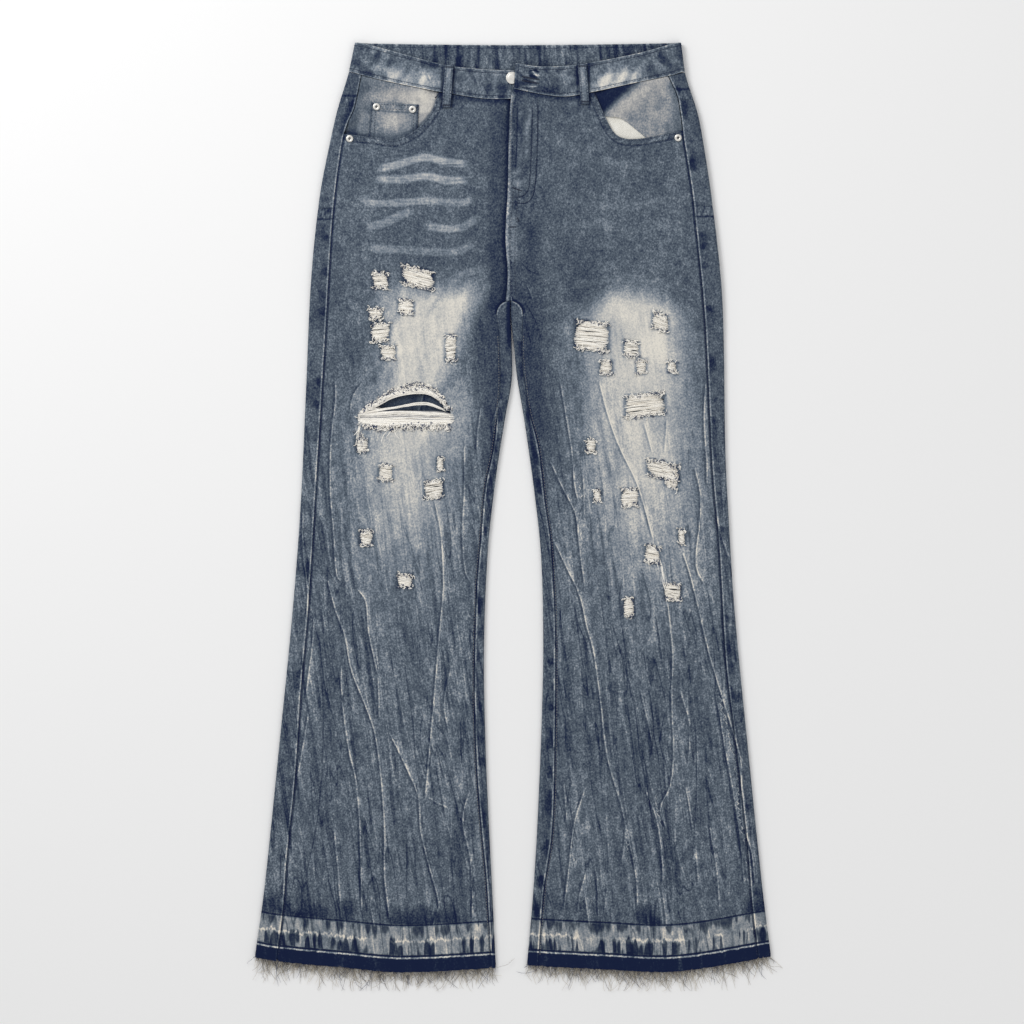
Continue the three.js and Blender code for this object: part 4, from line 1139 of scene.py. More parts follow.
# Loose threads of the rips: where the blue warp is rubbed away the cream weft still runs across each
# hole, with cut warp ends curling at its edges. Geometry Nodes spin each thread along its path.
def new_tree(name, *inputs):
    """An empty Geometry Nodes tree with named inputs, and short ways to add nodes to it."""
    tree = bpy.data.node_groups.new(name, "GeometryNodeTree")
    for label, kind in inputs:
        tree.interface.new_socket(name=label, in_out="INPUT", socket_type="NodeSocket" + kind)
    tree.interface.new_socket(name="Geometry", in_out="OUTPUT", socket_type="NodeSocketGeometry")
    given = add_node(tree, "NodeGroupInput").outputs
    result = add_node(tree, "NodeGroupOutput").inputs[0]

    def node(kind, inputs=(), **settings):
        return add_node(tree, kind, inputs, **settings)

    def finish(shape):
        real = node("GeometryNodeRealizeInstances", {"Geometry": shape}).outputs[0]
        coloured = node("GeometryNodeSetMaterial", {"Geometry": real, "Material": given["Material"]})
        put(result, coloured.outputs[0])

    return tree, given, node, finish


spinning, given, node, finish = new_tree(
    "spun thread", ("Path", "Geometry"), ("Radius", "Float"), ("Sides", "Int"), ("Wobble", "Float"),
    ("Wobble size", "Float"), ("Seed", "Float"), ("Material", "Material"),
)
path = node("GeometryNodeMeshToCurve", {"Mesh": given["Path"]})
position = node("GeometryNodeInputPosition").outputs[0]
scaled = node("ShaderNodeVectorMath", {0: position, 1: given["Wobble size"]}, operation="MULTIPLY").outputs[0]
wind_inputs = {"Vector": scaled, "W": given["Seed"], "Scale": 1.0, "Detail": 1.0}
wind = node("ShaderNodeTexNoise", wind_inputs, noise_dimensions="4D").outputs["Color"]
centred = node("ShaderNodeVectorMath", {0: wind, 1: (0.5, 0.5, 0.5)}, operation="SUBTRACT").outputs[0]
pushed = node("ShaderNodeVectorMath", {0: centred, "Scale": given["Wobble"]}, operation="SCALE").outputs[0]
bent = node("GeometryNodeSetPosition", {"Geometry": path.outputs[0], "Offset": pushed})
ring = node("GeometryNodeCurvePrimitiveCircle", {"Resolution": given["Sides"], "Radius": given["Radius"]})
girth = node("GeometryNodeInputNamedAttribute", {"Name": "girth"}, data_type="FLOAT")
spun = node("GeometryNodeCurveToMesh", {
    "Curve": bent.outputs[0], "Profile Curve": ring.outputs[0], "Scale": girth.outputs[0], "Fill Caps": True,
})
finish(spun.outputs[0])


def along_paths(name, paths, tree, inputs, shades=None, girths=None):
    """Runs a tree along paths of millimetre points, and returns the plain mesh object it makes."""
    counts = [len(path) for path in paths]
    points = np.concatenate([np.asarray(path, float) for path in paths]) * 0.001
    firsts = np.concatenate([[0], np.cumsum(counts)])
    edges = [(k, k + 1) for start, count in zip(firsts, counts) for k in range(start, start + count - 1)]
    mesh = bpy.data.meshes.new(name)
    mesh.from_pydata(points, edges, [])
    tapers = np.concatenate([1 - 0.6 * np.abs(np.linspace(-1, 1, count)) ** 6 for count in counts])
    girths = np.repeat(np.ones(len(paths)) if girths is None else girths, counts) * tapers
    shades = np.repeat(np.zeros(len(paths)) if shades is None else shades, counts)
    for label, values in (("shade", shades), ("girth", girths)):
        layer = mesh.attributes.new(label, "FLOAT", "POINT")
        layer.data.foreach_set("value", values.astype(np.float32))
    source = bpy.data.objects.new(name + " paths", mesh)
    bpy.context.scene.collection.objects.link(source)
    modifier = source.modifiers.new("nodes", "NODES")
    modifier.node_group = tree
    sockets = {s.name: s.identifier for s in tree.interface.items_tree if s.in_out == "INPUT"}
    for label, value in inputs.items():
        modifier[sockets[label]] = value
    graph = bpy.context.evaluated_depsgraph_get()
    made_mesh = bpy.data.meshes.new_from_object(source.evaluated_get(graph), preserve_all_data_layers=True,
                                                depsgraph=graph)
    bpy.data.objects.remove(source)
    made_mesh.polygons.foreach_set("use_smooth", np.ones(len(made_mesh.polygons), bool))
    made_mesh.name = name
    made = bpy.data.objects.new(name, made_mesh)
    bpy.context.scene.collection.objects.link(made)
    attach(made, "root")
    return made


def thread_material(name, *stops):
    """Cotton thread whose shade runs through these stops, with a fine twist."""
    material, tree, place = new_material(name)
    twist = grain(place, 900.0, 1.0, 0.5)
    dress(tree, shaded(stored(tree, "shade") + 0.35 * (twist - 0.5), *stops), 0.9, twist, 0.5, 0.0003)
    return material


rip_thread = thread_material(
    "rip thread", (0.0, srgb(255, 252, 245)), (0.35, srgb(243, 237, 226)), (0.6, srgb(172, 172, 173)),
    (0.8, srgb(98, 108, 130)), (1.0, srgb(48, 60, 92)),
)


def weft(dice, start, end, height, slack=0.5, hump=0.8, gathered=0.0, step=2.0):
    """One cream thread across a hole, slack and a little raised in its middle."""
    (x0, y0), (x1, y1) = start, end
    count = max(5, int(abs(x1 - x0) / step))
    share = np.linspace(0, 1, count)
    sway = dice.normal(0, slack, 3)
    arch = np.sin(math.pi * share)
    y = mix(y0, y1, share) + (sway[0] + gathered) * arch + sway[1] * np.sin(2 * math.pi * share)
    z = height + hump * arch + 0.3 * sway[2]
    z = z - 0.9 * (1 - np.sin(math.pi * np.clip(share, 0.06, 0.94)) ** 0.4)
    return np.stack([mix(x0, x1, share), y, z], axis=1)


def curl(dice, x, y, z, heading, length, coil=1.0):
    """A short cut end that lifts and curls over, starting at a point and heading off that way."""
    count = 7
    turn = heading + np.cumsum(dice.normal(0.22 * coil * dice.choice([-1, 1]), 0.35, count))
    step = length / count
    return np.stack([
        x + np.cumsum(np.cos(turn)) * step, y + np.cumsum(np.sin(turn)) * step,
        z + np.sin(np.linspace(0.3, math.pi, count)) * dice.uniform(0.3, 1.3),
    ], axis=1)


def add_rip(dice, side, rip, paths, shades):
    """The weft across one small hole and the curled ends along its top and bottom."""
    x, y, width, height, slant = rip
    face = float(top_level(y)) + 0.9
    splay = dice.uniform(-0.26, 0.26, 2)
    for layer in range(3):
        for row in np.arange(-height / 2 + 0.8, height / 2 - 0.3, 1.0 + 0.12 * layer):
            up = 2 * row / height
            reach = width / 2 * (1.0 - 0.4 * abs(up) ** 2.4) + dice.uniform(-0.8, 1.6)
            left, right = reach * (1 + splay * up)
            tilt = slant * reach + dice.normal(0, 0.35)
            gathered = 0.62 * math.sin(1.15 * row + 30 * splay[0])
            row = row + dice.uniform(-0.35, 0.35)
            paths.append(weft(dice, (x - left, y + row - tilt), (x + right, y + row + tilt),
                              face - 0.6 + 0.4 * layer, 0.4, 0.9, gathered))
            # The lower layers are painted a little darker, as shade under the threads above them.
            shades.append(dice.choice([0.0, 0.08, 0.2, 0.35]) + (0.15, 0.05, 0)[layer])
    for edge in (1, -1):
        for _ in range(int(width * 2.3)):
            off = dice.uniform(-0.52, 0.52) * width
            py = y + slant * off + edge * (height / 2 - 0.6 + dice.uniform(-1.4, 1.4))
            heading = edge * math.pi / 2 + dice.normal(0, 0.75)
            paths.append(curl(dice, x + off, py, face + 0.2, heading, dice.uniform(2.4, 6.0), 2.0))
            shades.append(dice.choice([0.05, 0.25, 0.5, 0.85, 1.0], p=[0.38, 0.24, 0.14, 0.13, 0.11]))


for side in (RIGHT, LEFT):
    dice = np.random.default_rng(31 if side is RIGHT else 32)
    paths, shades = [], []
    for rip in RIPS[side["name"]]:
        add_rip(dice, side, rip, paths, shades)
    girths = list(dice.uniform(0.75, 1.15, len(paths)))
    if side is RIGHT:
        # The long slash: a thick band of weft along its foot, a dark opening with one strand across it,
        # and a thick frayed arch above.
        face = float(top_level(120)) + 0.9
        foot = curve((-176, 113), (-150, 112), (-120, 113), (-90, 112.5), (-66, 112))
        bridge = curve((-165, 119), (-140, 123), (-120, 127), (-99, 129), (-84, 124), (-74, 119))
        arch = curve((-174, 118), (-158, 126), (-142, 135), (-122, 141.5), (-99, 142), (-83, 133), (-74, 121))
        # Each is the line it follows, its strands, how far they spread below and above it, its two ends
        # and how thick its threads are.
        for line, strands, low_y, high_y, low_x, high_x, thick in (
            (foot, 46, -9.5, 7.5, -175, -67, 1.5), (bridge, 5, -1.0, 1.0, -165, -74, 1.2),
            (arch, 24, -2.2, 3.5, -174, -74, 1.2), (bridge, 8, -3.0, 3.0, -174, -150, 1.3),
        ):
            for k in range(strands):
                x = np.arange(low_x + dice.uniform(-2, 3), high_x + dice.uniform(-3, 2), 4.2)
                rise = mix(low_y, high_y, (k + 0.5) / strands) + 0.6 * np.sin(x / dice.uniform(9, 16) + k)
                ends = 1 - 0.35 * np.abs(np.linspace(-1, 1, len(x))) ** 3
                lift = dice.uniform(0, 1)
                paths.append(np.stack([x, line(x) + rise * ends, face - 0.4 + 1.4 * lift * ends], axis=1))
                shades.append(dice.choice([0.0, 0.1, 0.22, 0.45, 0.6], p=[0.42, 0.27, 0.16, 0.1, 0.05]))
                girths.append(thick * dice.uniform(0.7, 1.2))
        # Curled ends: how many, the line they stand along, how far off it, which way, and the longest.
        for count, line, low_y, high_y, lean, longest in (
            (520, arch, 1.0, 9.0, math.pi / 2, 5.5), (430, foot, -13.0, -7.0, -math.pi / 2, 6.0),
        ):
            for _ in range(count):
                x = dice.uniform(-171, -71)
                middle = 1 - ((x + 120) / 58) ** 2
                y = float(line(x)) + dice.uniform(low_y, high_y if line is foot else low_y + 8 * middle)
                heading = lean + dice.normal(0, 1.2)
                paths.append(curl(dice, x, y, face + 0.3, heading, dice.uniform(2.5, longest), 2.6))
                shades.append(dice.choice([0.05, 0.25, 0.5, 0.85, 1.0], p=[0.36, 0.24, 0.14, 0.14, 0.12]))
                girths.append(dice.uniform(0.8, 1.3))
        for start, end in (((-143, 101), (-150, 84)), ((-139, 101), (-143, 91)), ((-131, 101), (-133, 93)),
                           ((-173, 108), (-178, 80)), ((-175, 112), (-177, 88)), ((-104, 101), (-99, 94)),
                           ((-174, 106), (-174, 90)), ((-136, 101), (-130, 88))):
            share = np.linspace(0, 1, 9)
            x = mix(start[0], end[0], share) + 1.2 * np.sin(share * 5 + start[0])
            paths.append(np.stack([x, mix(start[1], end[1], share), face - 0.3 + 0.5 * share], axis=1))
            shades.append(0.1)
            girths.append(1.0)
        for _ in range(34):
            x, y = dice.uniform(-179, -170), dice.uniform(84, 120)
            paths.append(curl(dice, x, y, face, -math.pi / 2, dice.uniform(4, 8), 0.8))
            shades.append(dice.choice([0.1, 0.4, 0.7]))
            girths.append(0.9)
    else:
        # A pale strand of warp joins the two lowest rips of the outer column.
        face = float(top_level(-60)) + 0.8
        for k in range(7):
            share = np.linspace(0, 1, 12)
            x = mix(162 + 0.8 * k, 173.5 + 0.8 * k, share) + dice.normal(0, 0.2)
            y = mix(-46, -84, share)
            paths.append(np.stack([x, y, face + 0.3 * np.sin(9 * share + k)], axis=1))
            shades.append(0.1)
            girths.append(1.0)
    threads = along_paths(f"{side['name']}_rip_threads", paths, spinning, {
        "Radius": 0.00046, "Sides": 4, "Wobble": 0.0011, "Wobble size": 260.0,
        "Seed": 3.0, "Material": rip_thread,
    }, np.array(shades), np.array(girths))

# Waistband: a straight strip of twill doubled over, sewn on right round the top. Its left end rides
# over the button, its back shows above the front, and it is puckered all along by its stitching.
BAND = 2.0
BAND_DEPTH = 33
BAND_BACK_LEVEL, BAND_FRONT_LEVEL = 2.5, 7.1
radius = (BAND_FRONT_LEVEL - BAND_BACK_LEVEL) / 2
level_middle = (BAND_FRONT_LEVEL + BAND_BACK_LEVEL) / 2


def rolled_end(side, turns):
    """Where the band rolls over at an outer edge: its top and its seam, level and side."""
    for turn in np.radians(turns):
        inset = side["out"] * (BAND / 2 + radius - radius * math.cos(turn))
        top, low = (side["outer_edge"](y) - inset for y in (540, 507))
        yield top, 540, low, 506.5, level_middle + radius * math.sin(turn), float(turn > 0)


stations = []
for share in np.linspace(0, 1, 95):
    x = mix(30, -168, share)
    low_x = x * 1.039 if x < 0 else x
    stations.append((x, RIGHT["waist_top"](x), low_x, RIGHT["waist_seam"](low_x), BAND_FRONT_LEVEL, 1))
stations += rolled_end(RIGHT, np.linspace(90, -90, 11))
for x in np.linspace(-166, 176, 130):
    top_y = 540 - 2.5 * math.cos(x / 400 * math.pi)
    stations.append((x, top_y, x * 1.03, back_waist_seam(x), BAND_BACK_LEVEL, 0))
stations += rolled_end(LEFT, np.linspace(-90, 90, 11))
first_of_left = len(stations)
for share in np.linspace(0, 1, 95):
    x = mix(180, 3, share)
    low_x = x * 1.02 - 2 * (1 - ramp(x, 3, 30))
    stations.append((x, LEFT["waist_top"](x), low_x, LEFT["waist_seam"](low_x), BAND_FRONT_LEVEL, 1))
stations = np.array(stations, float)
down = 0.5 - 0.5 * np.cos(np.linspace(0, math.pi, 25))[:, None]
x = mix(stations[:, 0], stations[:, 2], down)
y = mix(stations[:, 1], stations[:, 3], down)
on_front = np.broadcast_to(stations[:, 5], x.shape)
travelled = np.broadcast_to(run_along(stations[:, :2]), x.shape)
z = np.broadcast_to(stations[:, 4], x.shape).copy()
flap = np.broadcast_to(np.arange(x.shape[1]) >= first_of_left, x.shape)
z += np.where(flap, fly_lift(x, y), 0)
z += 0.35 * ripple(travelled, 40 * down + 0 * x, 16, 14, 21) * np.sin(math.pi * down)
buckle = spot(x, y, 26, 499, 22, 10) * flap
z += 0.8 * buckle * np.sin((x - 12) / 4.0)
to_end = np.where(flap, (x - 3) + 2 * down, 99)
z += 0.25 * np.exp(-to_end / 2.0) * (to_end < 20)
edge = np.broadcast_to(np.minimum(down, 1 - down) * BAND_DEPTH, x.shape)
folds = [
    (0.9, (8, 492), (14, 490), (24, 489.5), (33, 491)), (-1.8, (9, 498), (18, 495), (31, 494.5)),
    (0.9, (12, 502), (22, 503.5), (36, 500)), (-1.5, (14, 506), (24, 508), (34, 505)),
    (0.8, (18, 515), (25, 504), (36, 494)), (0.8, (37, 507), (41, 496), (45, 486)),
    (0.6, (56, 504), (60, 489)), (0.8, (-44, 505), (-38, 488)), (0.5, (-30, 503), (-24, 490)),
    (0.7, (-61, 498), (-55, 487)), (0.6, (-99, 508), (-92, 494)),
]
fields, ridge = crease_fields(np.where(on_front > 0.5, x, 900), y, folds, 3)
z += 0.35 * ridge
from_rim = np.where(flap & (to_end < 5), np.minimum(edge, to_end), edge)
fields["welt"] = triple(from_rim / 3.4, travelled, 0.55)
rubbed = spot(x - 0.6 * (y - 494), y, -110, 494, 34, 13) + 0.5 * spot(x, y, -146, 512, 16, 9)
rubbed += 1.1 * spot(x - 1.3 * (y - 497), y, 114, 497, 24, 16)
rubbed += 0.4 * spot(x, y, 60, 500, 16, 6) + 0.2 * spot(x, y, -50, 500, 26, 10)
patchy = ripple(travelled + 0.5 * y, y, 10, 16, 22)
fields["fade"] = on_front * (rubbed * (0.8 + 0.4 * patchy) + 0.5 * np.maximum(patchy, 0))
fields["fade"] = np.clip(fields["fade"] + 0.45 * (edge < 0.7), 0, 1)
# Painted shade in the buckled folds by the buttonhole, and a painted shadow beside each front belt loop.
painted_shade_in_folds = 2.4 * np.maximum(ripple(x + y, x - y, 6, 14, 29), 0) * spot(x, y, 26, 500, 27, 15)
painted_shadow_by_loops = np.exp(-(((np.abs(x - np.where(x > 0, 80, -74)) - 6.2) / 1.5) ** 2))
speckled = ramp(ripple(travelled, y, 12, 15, 23), 0.0, 0.4)
fields["navy"] = on_front * (0.75 * speckled * (1 - fields["fade"]) + 1.1 * painted_shadow_by_loops) + flap * painted_shade_in_folds
striped = ramp(ripple(travelled + 0.06 * y, y, 4.6, 60, 24), 0.0, 0.45)
fields["navy"] += (1 - on_front) * (0.05 + striped)
fields["bark"] = np.where(on_front > 0.5, 0.15, 0.7)
grid_of_band = triple(x, y, z)
normal_of_band = np.cross(np.gradient(grid_of_band, axis=0), np.gradient(grid_of_band, axis=1))
normal_of_band /= np.linalg.norm(normal_of_band, axis=2, keepdims=True)
if normal_of_band[8, 20, 2] < 0:
    normal_of_band = -normal_of_band
band_denim = washed_denim("waistband denim", marble=0.55)
band_cloth = woven("waistband_cloth", grid_of_band, BAND, fields, band_denim)
stand_in(band_cloth, "denim", "waistband")

# Belt loops: folded strips of the same twill, two in front and three at the back. Each is bartacked
# at both ends over the waistband. A loop is given by points down its middle.
LOOP_WIDTH, LOOP_LENGTH = 10.5, 48
LOOPS = {
    "front_right": [
        (-72.5, 514.5, 9.2), (-73, 508, 9.8), (-74.4, 490, 9.9), (-75.2, 478, 9.4), (-76, 466, 8.2),
    ],
    "front_left": [
        (78.5, 515.5, 9.2), (79, 509, 9.8), (80.6, 491, 9.9), (81.4, 479.5, 9.4), (82, 470, 8.2),
    ],
}
for place, x in (("back_right", -112), ("back_middle", -2.5), ("back_left", 107)):
    LOOPS[place] = [(x, y, UNDERNEATH) for y in (536, 512, 487)]
for place, line in LOOPS.items():
    line = np.array(line)
    share = np.linspace(0, 1, 60)
    at = np.linspace(0, 1, len(line))
    path = np.stack([np.interp(share, at, line[:, k]) for k in range(3)], axis=1)
    across = np.linspace(-0.5, 0.5, 22)
    crown = 0.3 * (1 - (2 * across) ** 4)
    grid = path[:, None, :] + np.stack([LOOP_WIDTH * across, 0 * across, crown * (line[0, 2] > 5)], axis=1)
    running = np.broadcast_to(share[:, None] * LOOP_LENGTH, grid.shape[:2])
    side_edge = np.broadcast_to((0.5 - np.abs(across)) * LOOP_WIDTH, grid.shape[:2])
    ends = np.minimum(running, LOOP_LENGTH - running)
    # Painted shade along both sides of each loop and across both its ends.
    fields = {
        "welt": triple(side_edge / 2.4, running, 0.5),
        "navy": 1.1 * (1 - ramp(side_edge, 0.2, 1.3)) + 0.6 * (1 - ramp(ends, 0.5, 1.5)),
        "fade": 0.18 + 0.3 * spot(running, side_edge, 16, 5, 16, 3),
    }
    loop = woven(f"belt_loop_{place}_cloth", grid, DENIM, fields, denim)
    stand_in(loop, "denim", f"belt_loop_{place}")

# Hem fringe: the hems are let down and left raw, so the cross threads fall away, and loose beige and
# grey ends hang from the front and back edge of each leg, with short navy stubs among them.
fringe_thread = thread_material(
    "hem thread", (0.0, srgb(214, 206, 190)), (0.4, srgb(178, 170, 156)), (0.7, srgb(128, 122, 116)),
    (1.0, srgb(46, 56, 88)),
)
FRINGE_THREADS, LONGEST, FRINGE_END = 1050, 31, -540.5
for side in (RIGHT, LEFT):
    dice = np.random.default_rng(51 if side is RIGHT else 52)
    paths, shades = [], []
    left_x, right_x = sorted((side["outer_edge"](-502) - side["out"], side["inner_edge"](-508) + side["out"]))
    for k in range(FRINGE_THREADS):
        x = dice.uniform(left_x, right_x)
        stub = k % 5 == 0
        on_top = dice.random() < 0.6
        z = dice.uniform(3.6, 5.0) if on_top else dice.uniform(0.3, 1.4)
        length = dice.gamma(3.2, 3.1) + 2.5 if k % 4 else dice.gamma(3.5, 4.2) + 5
        length = dice.uniform(3, 7) if stub else min(length, LONGEST)
        heading = -math.pi / 2 + dice.normal(0, 0.55)
        count = 9
        turn = heading + np.cumsum(dice.normal(dice.normal(0, 0.05), 0.13, count))
        step = length / count
        px = x + np.concatenate([[0], np.cumsum(np.cos(turn)) * step])
        py = side["hem"](x) + 1.5 + np.concatenate([[0], np.cumsum(np.sin(turn)) * step])
        py = np.maximum(py, FRINGE_END)
        pz = z - (z - 0.9) * np.linspace(0, 1, count + 1) ** 1.3 * min(1, length / 14)
        paths.append(np.stack([px, py, pz], axis=1))
        shades.append(
            1.0 if stub else dice.choice([0.05, 0.3, 0.55, 0.8, 1.0], p=[0.25, 0.3, 0.22, 0.13, 0.1])
        )
    fringe = along_paths(f"{side['name']}_hem_fringe_threads", paths, spinning, {
        "Radius": 0.00019, "Sides": 3, "Wobble": 0.0022, "Wobble size": 120.0,
        "Seed": 8.0, "Material": fringe_thread,
    }, np.array(shades))
    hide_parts(f"{side['name']}_hem_fringe_front", f"{side['name']}_hem_fringe_back")

# Button and rivets: turned nickel. The tack button is domed; each rivet is a ring round a sunken pin,
# set through both layers at a corner of a pocket.
nickel, tree, place = new_material("worn nickel")
pitting = grain(place, 1400.0, 3.0, 0.6)
smear = grain(place, 260.0, 2.0, 0.5)
polish = shaded(
    0.5 * smear + 0.65 - 0.85 * stored(tree, "sunk"), (0.0, srgb(50, 52, 58)), (0.5, srgb(150, 150, 150)),
    (0.85, srgb(226, 223, 216)), (1.0, srgb(244, 242, 236)),
)
dress(tree, polish, 0.3 * pitting + 0.22, pitting, 0.4, 0.0002)["Metallic"].default_value = 0.55

BUTTON_PROFILE = [
    (0, 0), (3, 0), (3, 0.7), (6.2, 0.7), (6.7, 0.8), (7, 1.1), (7, 1.35), (6.7, 1.7), (6.3, 1.9),
    (5.9, 1.88), (5.5, 1.8), (5.1, 1.88), (4.5, 2.05), (3.4, 2.18), (2, 2.26), (0.8, 2.3), (0, 2.3),
]
RIVET_PROFILE = [
    (0, 0), (3.6, 0), (4, 0.25), (4.1, 0.5), (4, 0.8), (3.6, 1.1), (3.1, 1.25), (2.6, 1.3),
    (2.1, 1.24), (1.6, 1.05), (1.3, 0.72), (1.15, 0.6), (0.9, 0.55), (0.7, 0.75), (0.4, 0.85), (0, 0.86),
]
for part in (
    "waist_button", "rivet_right_pocket", "rivet_left_pocket", "rivet_coin_outer", "rivet_coin_inner",
):
    is_rivet = part.startswith("rivet")
    profile = RIVET_PROFILE if is_rivet else BUTTON_PROFILE
    low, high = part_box(part)
    centre = np.array(low + high) * 500
    foot, segments = low.z * 1000, 40
    turn = np.arange(segments) / segments * 2 * math.pi
    points, sunk_values = [(centre[0], centre[1], foot)], [0]
    for radius, height in profile[1:-1]:
        around = np.stack([np.cos(turn), np.sin(turn)], axis=1) * radius + centre[:2]
        points += [(x, y, foot + height) for x, y in around]
        sunk_values += [float(is_rivet and radius < 1.5 and height > 0.3)] * segments
    points.append((centre[0], centre[1], foot + profile[-1][1]))
    sunk_values.append(0.3 * is_rivet)
    rings = len(profile) - 2
    faces = []
    for k in range(segments):
        after = (k + 1) % segments
        faces.append((0, 1 + after, 1 + k))
        for ring in range(rings - 1):
            a, b = 1 + ring * segments, 1 + (ring + 1) * segments
            faces.append((a + k, a + after, b + after, b + k))
        last = 1 + (rings - 1) * segments
        faces.append((last + k, last + after, len(points) - 1))
    metal = make_object(part + "_metal", points, faces, None, nickel)
    layer = metal.data.attributes.new("sunk", "FLOAT", "POINT")
    layer.data.foreach_set("value", sunk_values)
    stand_in(metal, "nickel", part)

# Stitching: tonal thread along every seam, hem and pocket, with dense bartacks where a seam takes
# strain. Geometry Nodes lay one stitch at each step along a line that lies on the cloth.
sewing, given, node, finish = new_tree(
    "sewn line", ("Path", "Geometry"), ("Step", "Float"), ("Stitch", "Vector"), ("Material", "Material"),
)
line = node("GeometryNodeMeshToCurve", {"Mesh": given["Path"]})
even = node("GeometryNodeResampleCurve", {"Curve": line.outputs[0], "Length": given["Step"]}, mode="LENGTH")
tangent = node("GeometryNodeInputTangent")
turned = node("FunctionNodeAlignRotationToVector", {"Vector": tangent.outputs[0]}, axis="X")
bead = node("GeometryNodeMeshUVSphere", {"Segments": 5, "Rings": 3, "Radius": 1.0})
laid = node("GeometryNodeInstanceOnPoints", {
    "Points": even.outputs[0], "Instance": bead.outputs[0], "Rotation": turned.outputs[0],
    "Scale": given["Stitch"],
})
finish(laid.outputs[0])

stitch_thread = thread_material(
    "stitch thread", (0.0, srgb(150, 148, 142)), (0.35, srgb(104, 108, 116)), (0.6, srgb(60, 68, 88)),
    (1.0, srgb(24, 32, 56)),
)
cloths = [o for o in bpy.context.scene.objects if o.name.endswith("_cloth")]
corners, polygons = [], []
for cloth in cloths:
    first = len(corners)
    corners += [tuple(v.co * 1000) for v in cloth.data.vertices]
    polygons += [tuple(first + i for i in p.vertices) for p in cloth.data.polygons]
surface = BVHTree.FromPolygons(corners, polygons)


def on_cloth(points, below, raised, step):
    """A line through pairs of millimetres, laid on the cloth, seen from above or from below."""
    points = np.asarray(points, float)
    run = run_along(points)
    at = np.linspace(0, run[-1], max(3, int(run[-1] / step)))
    path = []
    for x, y in zip(np.interp(at, run, points[:, 0]), np.interp(at, run, points[:, 1])):
        up = 1 if below else -1
        hit = surface.ray_cast(Vector((x, y, -20 if below else 30)), Vector((0, 0, up)))[0]
        if hit:
            path.append((x, y, hit.z - up * raised))
    return np.array(path)


def beside(points, distance):
    """A line that far to the left of another."""
    points = np.asarray(points, float)
    along = np.gradient(points, axis=0)
    along /= np.linalg.norm(along, axis=1, keepdims=True)
    return points + distance * np.stack([-along[:, 1], along[:, 0]], axis=1)


def line_of(edge, start, end, shift=0.0, count=200):
    y = np.linspace(start, end, count)
    return np.stack([edge(y) + shift, y], axis=1)


rows = {"dark": [], "pale": []}


def sew(points, below=False, shade="dark", raised=0.12, step=3.0):
    """Adds a row of stitches along a line on the cloth."""
    rows[shade].append(on_cloth(points, below, raised, step))


for side in (RIGHT, LEFT):
    name, out = side["name"], side["out"]
    _, mouth = panel_outline(side)
    for depth in (1.6, 6.2):
        sew(beside(mouth[::-1] if side is RIGHT else mouth, -depth)[3:-3])
    sew(line_of(side["inseam"], 205, -498, out * 2.0), shade="pale")
    sew(line_of(side["outseam"], 300, -498, -out * 1.6))
    middle = CENTRE_BACK + out * 1.2
    yoke_ground = [(middle, YOKE_POINT + 2), (side["outer_edge"](470) - out * 8, side["yoke_seam"] + 2)]
    seat_y = side["seat_seam"] - 2
    seat_ground = [(middle, seat_y), (side["outer_edge"](351) - out * 8, seat_y)]
    for shift in (0, 6.4):
        sew(np.array(yoke_ground) + (0, shift), True)
        sew(np.array(seat_ground) - (0, shift), True)
        sew([(middle + out * shift, 500), (middle + out * shift, 262)], True)
    half = POCKET_WIDTH / 2
    for inset in (2.2, 7.6):
        top, low = POCKET_TOP - 1, POCKET_TOP - POCKET_LENGTH
        wide, narrow = half - inset, half - POCKET_TAPER / 2 - inset
        shape = [(-wide, top), (-narrow, low + inset), (0, low - POCKET_POINT + inset)]
        shape += [(narrow, low + inset), (wide, top)]
        sew(np.array(shape) + (CENTRE_BACK + out * POCKET_OUT, 0), True)
    hem_line = [(-half + 2, POCKET_TOP - 14), (half - 2, POCKET_TOP - 14)]
    sew(np.array(hem_line) + (CENTRE_BACK + out * POCKET_OUT, 0), True)
for points in (
    [(28.5, 474), (28.5, 458), (27.4, 409), (25, 375), (21, 362), (14, 357), (-3.4, 357.6)],
    [(23, 474), (22.5, 455), (21, 409), (19, 378), (15, 368), (8, 364), (-3.4, 364)],
    [(0.5, 370), (-1.6, 345), (-3.4, 319), (-3.4, 285), (-2.2, 255)],
    [(6.2, 370), (4, 345), (2.4, 319), (2, 285), (3, 255)],
    [(-159, 465), (-110, 463)], [(-159, 470), (-110, 468)], [(-160, 470), (-162.5, 434)],
    [(-156.5, 464), (-158.5, 433)], [(-108.6, 467), (-110, 441)], [(-112.6, 462), (-114, 437)],
):
    sew(points)
sew(line_of(FLY_EDGE, 478, 375, 2.0), shade="pale")
for row in (5, -6):
    rows["dark"].append(grid_of_band[row] + normal_of_band[row] * (BAND / 2 + 0.12))
for place, line in LOOPS.items():
    line = np.array(line)
    for shift in (-3.4, 3.4):
        sew(line[:, :2] + (shift, 0), not place.startswith("front"), step=2.5)
for shade, lines in (("dark", 0.72), ("pale", 0.12)):
    sewn = along_paths(f"{shade}_stitching", rows[shade], sewing, {
        "Step": 0.0031, "Stitch": (0.00125, 0.00034, 0.0003), "Material": stitch_thread,
    }, np.full(len(rows[shade]), lines))

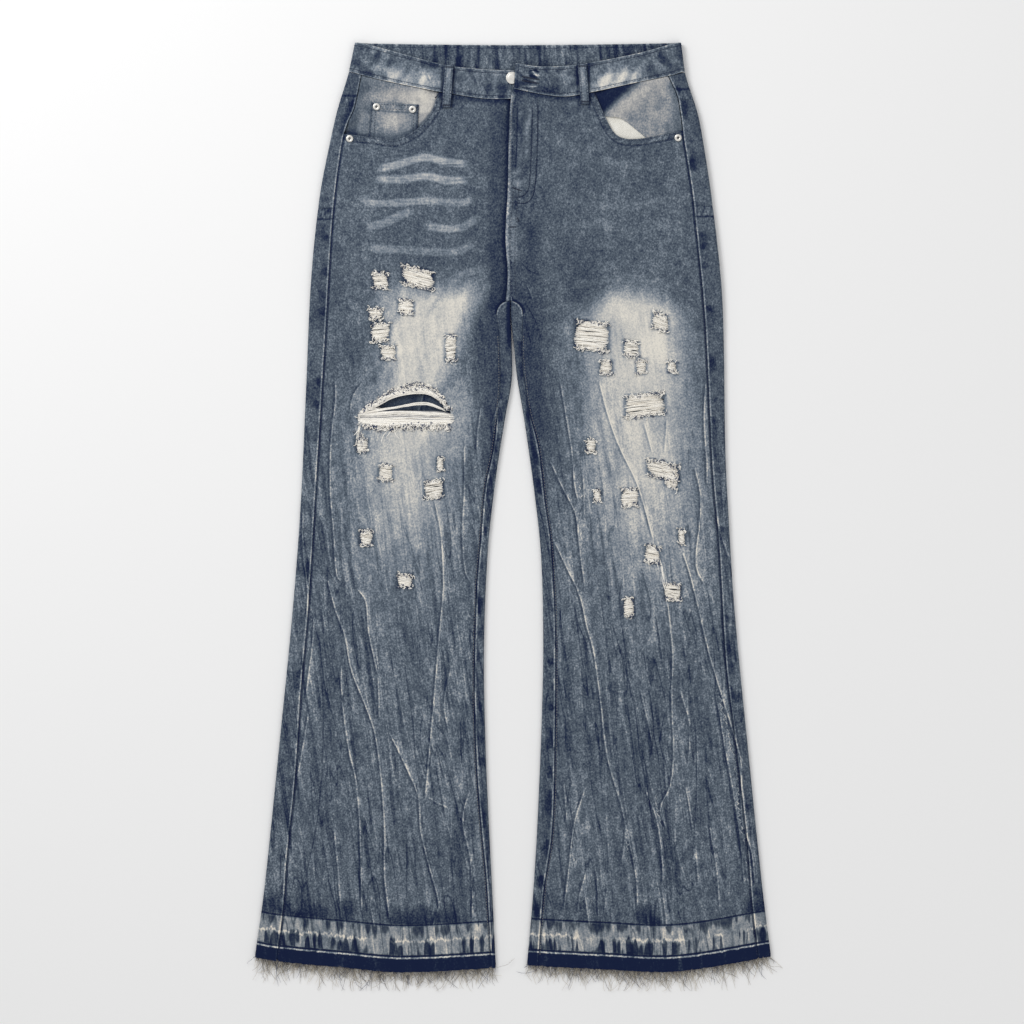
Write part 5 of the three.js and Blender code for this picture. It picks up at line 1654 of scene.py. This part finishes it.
BARTACKS = [
    (-1, 375, 10, 371), (4.8, 341, 6.6, 336), (-4.6, 330, 3.4, 330), (-89, 477, -84, 482),
    (93, 482, 96, 476), (10, 501, 30, 497.4), (10, 496.6, 30, 493), (-186, 439, -193, 438),
    (-160, 471, -157, 464), (-108.5, 468, -112.5, 462),
]
tacks = []
for place, line in LOOPS.items():
    for x, y in ((line[0][0], line[0][1] - 2.5), (line[-1][0], line[-1][1] + 2.5)):
        tacks.append((x - 4.4, y, x + 4.4, y, not place.startswith("front")))
for side in (RIGHT, LEFT):
    for across in (-POCKET_WIDTH / 2 + 3, POCKET_WIDTH / 2 - 3):
        x = CENTRE_BACK + side["out"] * POCKET_OUT + across
        tacks.append((x, POCKET_TOP - 1, x, POCKET_TOP - 10, True))
paths = []
for x0, y0, x1, y1, below in [(*tack, False) for tack in BARTACKS] + tacks:
    start, end = np.array([x0, y0], float), np.array([x1, y1], float)
    reach = np.hypot(*(end - start))
    across = np.array([y0 - y1, x1 - x0]) / reach * 0.95
    count = int(reach / 0.42)
    zigzag = [mix(start, end, k / count) + across * (1 if k % 2 else -1) for k in range(count + 1)]
    paths.append(on_cloth(zigzag, below, 0.2, 0.9))
tacked = along_paths("bartacks", paths, spinning, {
    "Radius": 0.00026, "Sides": 4, "Wobble": 0.0, "Wobble size": 1.0, "Seed": 0.0, "Material": stitch_thread,
}, np.full(len(paths), 0.78))


# Floor, light and camera: the jeans lie on a plain pale floor, under a soft window light from beside the
# waist and a weaker fill, seen from straight above.
floor_material, tree, _ = new_material("plain pale floor")
tree.nodes["Principled BSDF"].inputs["Base Color"].default_value = (0.94, 0.94, 0.94, 1)
tree.nodes["Principled BSDF"].inputs["Roughness"].default_value = 0.95
corners = [(-4000, -4000, -0.4), (4000, -4000, -0.4), (4000, 4000, -0.4), (-4000, 4000, -0.4)]
floor = make_object("floor", corners, [(0, 1, 2, 3)], None, floor_material)

world = bpy.data.worlds.new("soft room light")
world.use_nodes = True
world.node_tree.nodes["Background"].inputs["Color"].default_value = (1, 1, 1, 1)
world.node_tree.nodes["Background"].inputs["Strength"].default_value = 0.52
bpy.context.scene.world = world
for lamp_name, where, energy, size in [
    ("soft window", (-1.4, 1.8, 1.7), 38, 1.2),
    ("soft fill", (1.4, -0.8, 2.6), 14, 2.2),
]:
    lamp = bpy.data.lights.new(lamp_name, "AREA")
    lamp.energy, lamp.size = energy, size
    light = bpy.data.objects.new(lamp_name, lamp)
    light.location = where
    light.rotation_euler = (-Vector(where)).to_track_quat("-Z", "Y").to_euler()
    bpy.context.scene.collection.objects.link(light)

VIEW_WIDTH, VIEW_HEIGHT = 1.1674, 6.0
camera = bpy.data.objects.new("camera", bpy.data.cameras.new("camera"))
camera.location = (-0.0011, 0.0054, VIEW_HEIGHT)
camera.data.sensor_width = 36
camera.data.lens = 36 * VIEW_HEIGHT / VIEW_WIDTH
camera.data.clip_end = 20
bpy.context.scene.collection.objects.link(camera)
bpy.context.scene.camera = camera
bpy.context.scene.view_settings.view_transform = "Standard"
